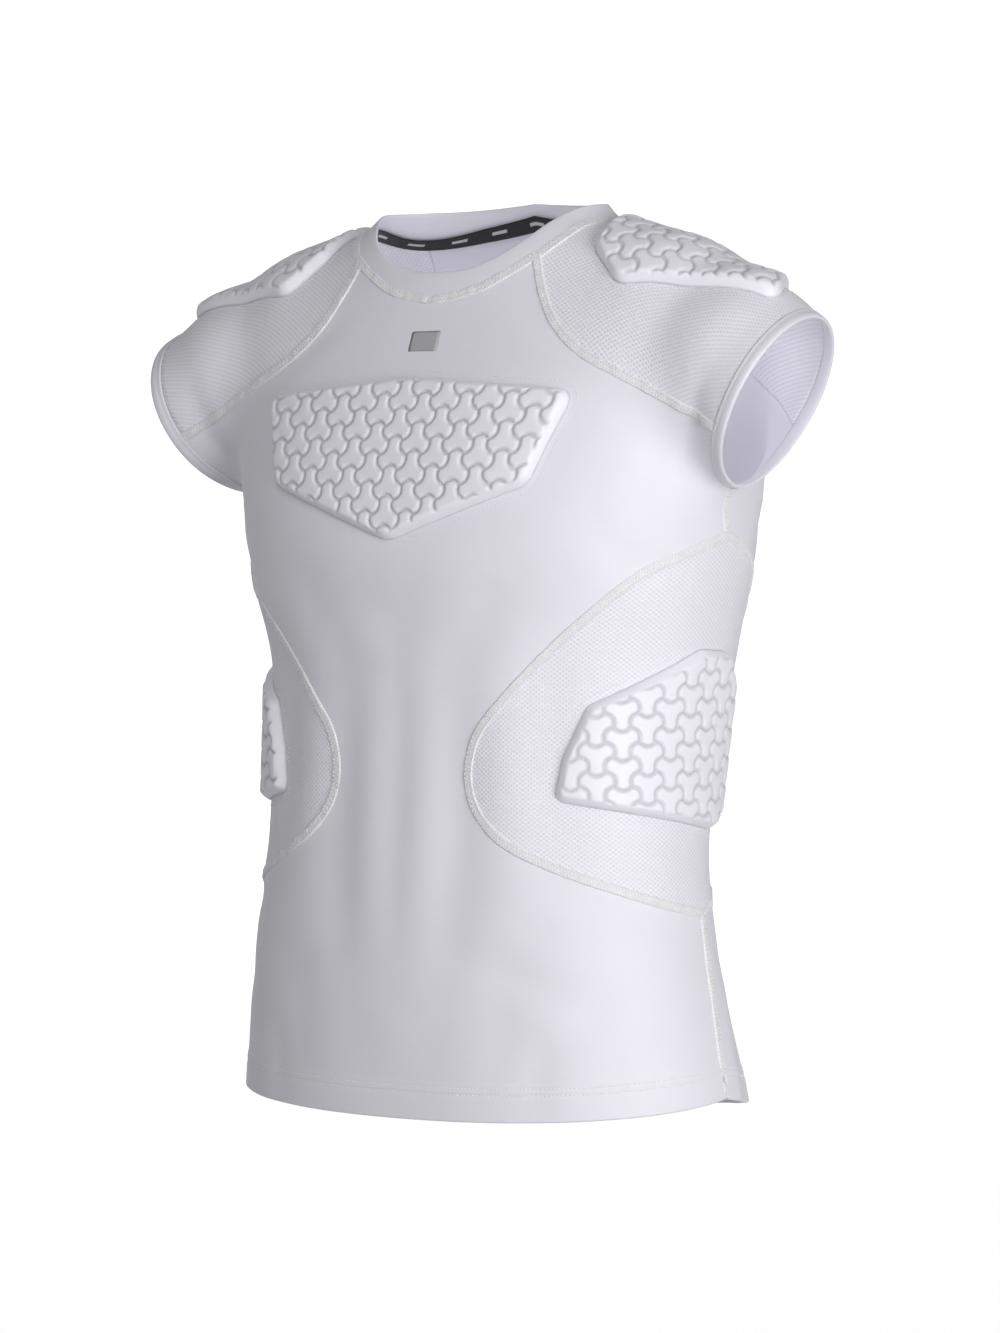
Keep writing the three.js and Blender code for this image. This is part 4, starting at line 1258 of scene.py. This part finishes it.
class ShirtSettings(PropertyGroup):
    cloth_colour: FloatVectorProperty(
        name="Cloth colour", description="Colour of the plain stretch knit", subtype="COLOR",
        size=3, min=0, max=1, default=(0.81, 0.80, 0.87))
    mesh_colour: FloatVectorProperty(
        name="Mesh colour", description="Colour of the mesh knit panels", subtype="COLOR",
        size=3, min=0, max=1, default=(0.85, 0.84, 0.91))
    pad_colour: FloatVectorProperty(
        name="Pad colour", description="Colour of the cover moulded over the foam",
        subtype="COLOR", size=3, min=0, max=1, default=(0.86, 0.85, 0.92))
    thread_colour: FloatVectorProperty(
        name="Thread colour", description="Colour of the sewing thread", subtype="COLOR",
        size=3, min=0, max=1, default=(0.92, 0.92, 0.95))
    tape_colour: FloatVectorProperty(
        name="Tape colour", description="Colour of the tape inside the neck", subtype="COLOR",
        size=3, min=0, max=1, default=(0.012, 0.012, 0.014))
    patch_colour: FloatVectorProperty(
        name="Patch colour", description="Colour of the small plain patch on the chest",
        subtype="COLOR", size=3, min=0, max=1, default=(0.44, 0.44, 0.46))
    mesh_pitch: FloatProperty(
        name="Mesh pitch", description="Distance between the openings of the mesh knit",
        default=0.0044, min=0.001, max=0.01, subtype="DISTANCE", unit="LENGTH")
    pad_height: FloatProperty(
        name="Pad height", description="Height of the foam tiles over the cloth",
        default=0.0086, min=0.002, max=0.02, subtype="DISTANCE", unit="LENGTH")
    groove_depth: FloatProperty(
        name="Groove depth", description="Depth of the grooves between the foam tiles",
        default=0.0017, min=0.0005, max=0.006, subtype="DISTANCE", unit="LENGTH")
    groove_width: FloatProperty(
        name="Groove width", description="Width of the grooves between the foam tiles",
        default=0.0022, min=0.001, max=0.008, subtype="DISTANCE", unit="LENGTH")
    stitch_pitch: FloatProperty(
        name="Stitch pitch", description="Distance from one stitch to the next",
        default=0.0030, min=0.001, max=0.01, subtype="DISTANCE", unit="LENGTH")
    thread_width: FloatProperty(
        name="Thread width", description="Thickness of the sewing thread",
        default=0.0007, min=0.0002, max=0.002, subtype="DISTANCE", unit="LENGTH")
    camera_distance: FloatProperty(
        name="Camera distance", description="Distance of the camera from the shirt",
        default=3.392, min=1.0, max=10.0, subtype="DISTANCE", unit="LENGTH")


# ---- Operators

class Step(Operator):
    """Builds one group of pieces"""
    bl_idname = "shirt.step"
    bl_label = "Step"
    bl_options = {"REGISTER", "UNDO"}

    def execute(self, context):
        self.build(context.scene.shirt)
        return {"FINISHED"}

    def build(self, settings):
        raise NotImplementedError(self.bl_idname)


# The photograph's view: azimuth and elevation in degrees, pixels per metre at the middle of
# the shirt, and the picture's place and size in pixels.
VIEW_AZIMUTH = 35.0
VIEW_ELEVATION = 1.33
VIEW_SCALE = 1383.0
VIEW_PLACE = (492.6, 661.0)
PICTURE = (1000, 1333)
SENSOR = 36.0
VIEW_MIDDLE = Vector((0.0, 0.0, -0.314))
FLOOR_Z = -1.1
FLOOR_REACH = 14.0
BACKDROP_REACH = 6.5
BACKDROP_HALF = 2.4
BACKDROP_TOP = 1.6


def area_light(name, place, target, size, power):
    light = bpy.data.lights.new(name, "AREA")
    light.shape = "RECTANGLE"
    light.size, light.size_y = size
    light.energy = power
    lamp = bpy.data.objects.new(name, light)
    lamp.location = place
    lamp.rotation_euler = (Vector(target) - Vector(place)).to_track_quat("-Z", "Y").to_euler()
    bpy.context.scene.collection.objects.link(lamp)
    return lamp


def glow_light(name, place, power):
    light = bpy.data.lights.new(name, "POINT")
    light.energy = power
    light.shadow_soft_size = 0.05
    item = bpy.data.objects.new(name, light)
    item.location = place
    bpy.context.scene.collection.objects.link(item)


def view_directions():
    azimuth, elevation = np.radians((VIEW_AZIMUTH, VIEW_ELEVATION))
    forward = Vector((-np.sin(azimuth) * np.cos(elevation),
                      np.cos(azimuth) * np.cos(elevation), -np.sin(elevation)))
    right = Vector((np.cos(azimuth), np.sin(azimuth), 0))
    return forward, right, right.cross(forward)


class SHIRT_OT_stage(Step):
    """Adds the camera, the pale floor and the soft lights"""
    bl_idname = "shirt.stage"
    bl_label = "Stage"

    def build(self, settings):
        forward, right, up = view_directions()
        data = bpy.data.cameras.new("camera")
        data.sensor_width = SENSOR
        data.lens = VIEW_SCALE * settings.camera_distance * SENSOR / max(PICTURE)
        data.clip_end = 100.0
        camera = bpy.data.objects.new("camera", data)
        offset = [(half / 2 - place) / VIEW_SCALE for half, place in zip(PICTURE, VIEW_PLACE)]
        middle = VIEW_MIDDLE + right * offset[0] - up * offset[1]
        camera.location = middle - forward * settings.camera_distance
        camera.rotation_euler = forward.to_track_quat("-Z", "Y").to_euler()
        bpy.context.scene.collection.objects.link(camera)
        bpy.context.scene.camera = camera

        mesh = bpy.data.meshes.new("floor")
        corners = [(x * FLOOR_REACH, y * FLOOR_REACH, FLOOR_Z)
                   for x, y in ((-1, -1), (1, -1), (1, 1), (-1, 1))]
        mesh.from_pydata(corners, [], [(0, 1, 2, 3)])
        floor = new_object("floor", mesh, used(floor_material))
        mesh = bpy.data.meshes.new("backdrop")
        behind = Vector((forward.x, forward.y, 0)).normalized() * BACKDROP_REACH
        corners = [behind + right * x * BACKDROP_HALF + Vector((0, 0, z))
                   for x, z in ((-1, FLOOR_Z), (1, FLOOR_Z), (1, BACKDROP_TOP), (-1, BACKDROP_TOP))]
        mesh.from_pydata(corners, [], [(0, 1, 2, 3)])
        backdrop = new_object("backdrop", mesh, used(floor_material))

        world = bpy.context.scene.world or bpy.data.worlds.new("studio")
        bpy.context.scene.world = world
        world.use_nodes = True
        world.node_tree.nodes.clear()
        graph = Graph(world.node_tree)
        sky = graph.node("ShaderNodeBackground", values={"Color": (1, 1, 1, 1), "Strength": 0.24})
        graph.node("ShaderNodeOutputWorld", values={"Surface": sky.outputs[0]})
        target = (0.0, 0.0, -0.33)
        area_light("key_light", (2.27, -1.06, -0.33), target, (1.2, 1.2), 36.0)
        area_light("fill_light", (0.70, -1.92, 1.10), target, (1.2, 1.2), 14.0)
        # Light that the thin cloth lets through to its inside
        glow_light("glow_body", (0.0, 0.0, -0.24), 0.13)
        glow_light("glow_left", (0.16, 0.0, -0.14), 0.09)
        glow_light("glow_right", (-0.16, 0.0, -0.14), 0.09)
        bpy.context.scene.view_settings.view_transform = "Standard"


class SHIRT_OT_body_panels(Step):
    """Makes the front and back panels with their turned hems"""
    bl_idname = "shirt.body_panels"
    bl_label = "Front and back panels"

    def build(self, settings):
        for name, sheet, chart in (("front_panel", front_sheet(), front_chart),
                                   ("back_panel", back_sheet(), back_chart)):
            piece = body_panel(f"{name}_cloth", sheet, chart)
            declare(piece, name)


class SHIRT_OT_mesh_panels(Step):
    """Makes the mesh panels of the sides and shoulders"""
    bl_idname = "shirt.mesh_panels"
    bl_label = "Mesh panels"

    def build(self, settings):
        panels = (("side_panel", side_sheet(), front_chart),
                  ("shoulder_panel", shoulder_sheet(), shoulder_chart))
        for kind, sheet, chart in panels:
            for hand, side in SIDES:
                node = f"{kind}_{hand}"
                piece = plain_panel(f"{node}_mesh", sheet, chart, used(mesh_material), side)
                declare(piece, node)


class SHIRT_OT_bands(Step):
    """Makes the collar band and the two cuff bands"""
    bl_idname = "shirt.bands"
    bl_label = "Collar and cuffs"

    def build(self, settings):
        turns = np.linspace(0, 360, 240, endpoint=False)
        collar = band(collar_place(COLLAR_SEAM, turns), collar_place(COLLAR_TOP, turns),
                      COLLAR_PROFILE)
        piece = collar.finish("collar_band", used(cloth_material))
        declare(piece, "collar")
        ring = np.linspace(0, 360, 160, endpoint=False)
        for hand, side in SIDES:
            cuff = band(cuff_place(ring), armhole_edge(ring), CUFF_PROFILE)
            piece = cuff.finish(f"cuff_{hand}_band", used(cloth_material), side)
            declare(piece, f"cuff_{hand}")


class SHIRT_OT_neck_tape(Step):
    """Makes the black tape inside the back of the neck"""
    bl_idname = "shirt.neck_tape"
    bl_label = "Neck tape"

    def build(self, settings):
        turns = np.linspace(TAPE_START, 360 - TAPE_START, 150)
        low, high = collar_place(COLLAR_SEAM, turns), collar_place(COLLAR_TOP, turns)
        rises = np.linspace(TAPE_ABOVE_SEAM, -TAPE_BELOW_SEAM, 9)
        sheet = settle(low + unit(high - low) * rises[:, None, None])
        drawn = 0.25 * np.abs(np.linspace(-1, 1, 9)) ** 6
        depth = (-TAPE_DEPTH - drawn)[:, None] + np.zeros(sheet.shape[:2])
        run = lengths(low)
        uv = np.stack(np.broadcast_arrays(run[None], (TAPE_ABOVE_SEAM - rises)[:, None]), -1)
        cloth = Cloth()
        shell(cloth, sheet, depth, depth - TAPE, uv)
        piece = cloth.finish("neck_tape_woven", used(tape_material))
        declare(piece, "neck_tape")


class SHIRT_OT_pads(Step):
    """Makes the moulded foam pads of the chest, ribs and shoulders"""
    bl_idname = "shirt.pads"
    bl_label = "Foam pads"

    def build(self, settings):
        pads = [("chest_pad", CHEST_PAD, chest_place, TWO_DOWN, LEFT, 1.2)]
        for hand, side in SIDES:
            pads.append((f"rib_pad_{hand}", RIB_PAD, rib_place, TWO_UP, side, 1.25))
            pads.append((f"shoulder_pad_{hand}", SHOULDER_PAD, shoulder_place, TWO_UP, side, 1.25))
        for node, corners, place, swell, side, step in pads:
            piece = build_pad(f"{node}_cover", corners, place, swell, side, step)
            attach(piece, "root")
            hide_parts(node)


class SHIRT_OT_chest_patch(Step):
    """Makes the small plain patch pressed on the chest"""
    bl_idname = "shirt.chest_patch"
    bl_label = "Chest patch"

    def build(self, settings):
        corners = np.array([(-12.5, -79, 1.5), (12.5, -79, 1.5), (12.5, -93.5, 1.5), (-12.5, -93.5, 1.5)], float)
        outline = resampled(rounded_outline(corners, 0.5), 1.0)
        share = np.linspace(1, 0, 6)[:, None, None]
        flat = outline.mean(0) + (outline - outline.mean(0)) * share
        form = chest_place(flat[..., 0], flat[..., 1])
        lift = np.full(form.shape[:2], 0.22)
        lift[0] = 0.02
        top = form + normal_at(form) * (lift + relief(form))[..., None]
        cloth = Cloth()
        cloth.grid(ended(top), ended(flat))
        under = form + normal_at(form) * (relief(form) - 0.2)[..., None]
        under[0] = top[0]
        cloth.grid(ended(under), ended(flat), turned=True)
        piece = cloth.finish("chest_patch", used(patch_material))
        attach(piece, "root")


class SHIRT_OT_seams(Step):
    """Makes the flat seams that join the panels"""
    bl_idname = "shirt.seams"
    bl_label = "Flat seams"

    def build(self, settings):
        for hand, side in SIDES:
            cloth = Cloth()
            for path, closed in seam_paths():
                flat_seam(cloth, path, side, closed)
            piece = seam_piece(f"flat_seams_{hand}", cloth)
        cloth = Cloth()
        flat_seam(cloth, collar_ring(), LEFT, True)
        seam_piece("collar_seam", cloth)


def seam_piece(name, cloth):
    piece = cloth.finish(name, used(seam_material))
    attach(piece, "root")
    return piece


class SHIRT_OT_stitching(Step):
    """Sews the rows of stitches"""
    bl_idname = "shirt.stitching"
    bl_label = "Stitching"

    def build(self, settings):
        pitch, thread = settings.stitch_pitch, settings.thread_width
        hem = [(*hem_line(rise, 0.45), True) for rise in HEM_STITCHES]
        stitch_rows("hem_stitches", hem, pitch, 0.0024, thread * 1.2)
        cross = []
        for path, closed in seam_paths():
            cross += both_sides(*beside(path, 0.0, SEAM_TOP, closed), closed)
        line, out = beside(collar_ring(), 0.0, SEAM_TOP, True)
        cross.append((line, out, True))
        stitch_rows("flat_seam_stitches", cross, pitch * 0.62, 0.0052, thread * 0.8, 1.0)
        edges = []
        for path, closed in seam_paths():
            for offset in (-2.4, 2.4):
                edges += both_sides(*beside(path, offset, 1.0, closed), closed)
        for offset in (-2.4, 2.4):
            edges.append((*beside(collar_ring(), offset, 1.0, True), True))
        stitch_rows("seam_edge_stitches", edges, pitch, 0.0024, thread)
        pads = [(*outline_line(CHEST_PAD, chest_place, PAD_STITCH_OFFSET, 0.2), True)]
        pads += both_sides(*outline_line(RIB_PAD, rib_place, PAD_STITCH_OFFSET, 0.2), True)
        pads += both_sides(*outline_line(SHOULDER_PAD, shoulder_place, 3.4, 0.2), True)
        stitch_rows("pad_stitches", pads, pitch * 1.1, 0.0022, thread)
        ring = np.linspace(0, 360, 160, endpoint=False)
        cuffs = []
        for width in (CUFF_WIDTH - 1.2, CUFF_WIDTH + 1.6):
            line = cuff_place(ring, width)
            out = normal_at(line)
            lift = 0.75 if width < CUFF_WIDTH else 0.25
            cuffs += both_sides(line + out * (lift + relief(line))[..., None], out, True)
        stitch_rows("cuff_stitches", cuffs, pitch, 0.0022, thread)


OPERATORS = (SHIRT_OT_stage, SHIRT_OT_body_panels, SHIRT_OT_mesh_panels, SHIRT_OT_bands,
             SHIRT_OT_neck_tape, SHIRT_OT_pads, SHIRT_OT_chest_patch, SHIRT_OT_seams,
             SHIRT_OT_stitching)


class SHIRT_PT_sidebar(Panel):
    """Lists the steps and the settings of the shirt"""
    bl_idname = "SHIRT_PT_sidebar"
    bl_label = "Shirt"
    bl_space_type = "VIEW_3D"
    bl_region_type = "UI"
    bl_category = "Shirt"

    def draw(self, context):
        layout = self.layout
        for key in ShirtSettings.__annotations__:
            layout.prop(context.scene.shirt, key)
        for operator in OPERATORS:
            layout.operator(operator.bl_idname)


CLASSES = (ShirtSettings, *OPERATORS, SHIRT_PT_sidebar)


def register():
    for item in CLASSES:
        bpy.utils.register_class(item)
    bpy.types.Scene.shirt = PointerProperty(type=ShirtSettings)


def unregister():
    del bpy.types.Scene.shirt
    for item in reversed(CLASSES):
        bpy.utils.unregister_class(item)


def main():
    register()
    settle_creases()
    for operator in OPERATORS:
        group, name = operator.bl_idname.split(".")
        getattr(getattr(bpy.ops, group), name)()


if __name__ == "__main__":
    main()
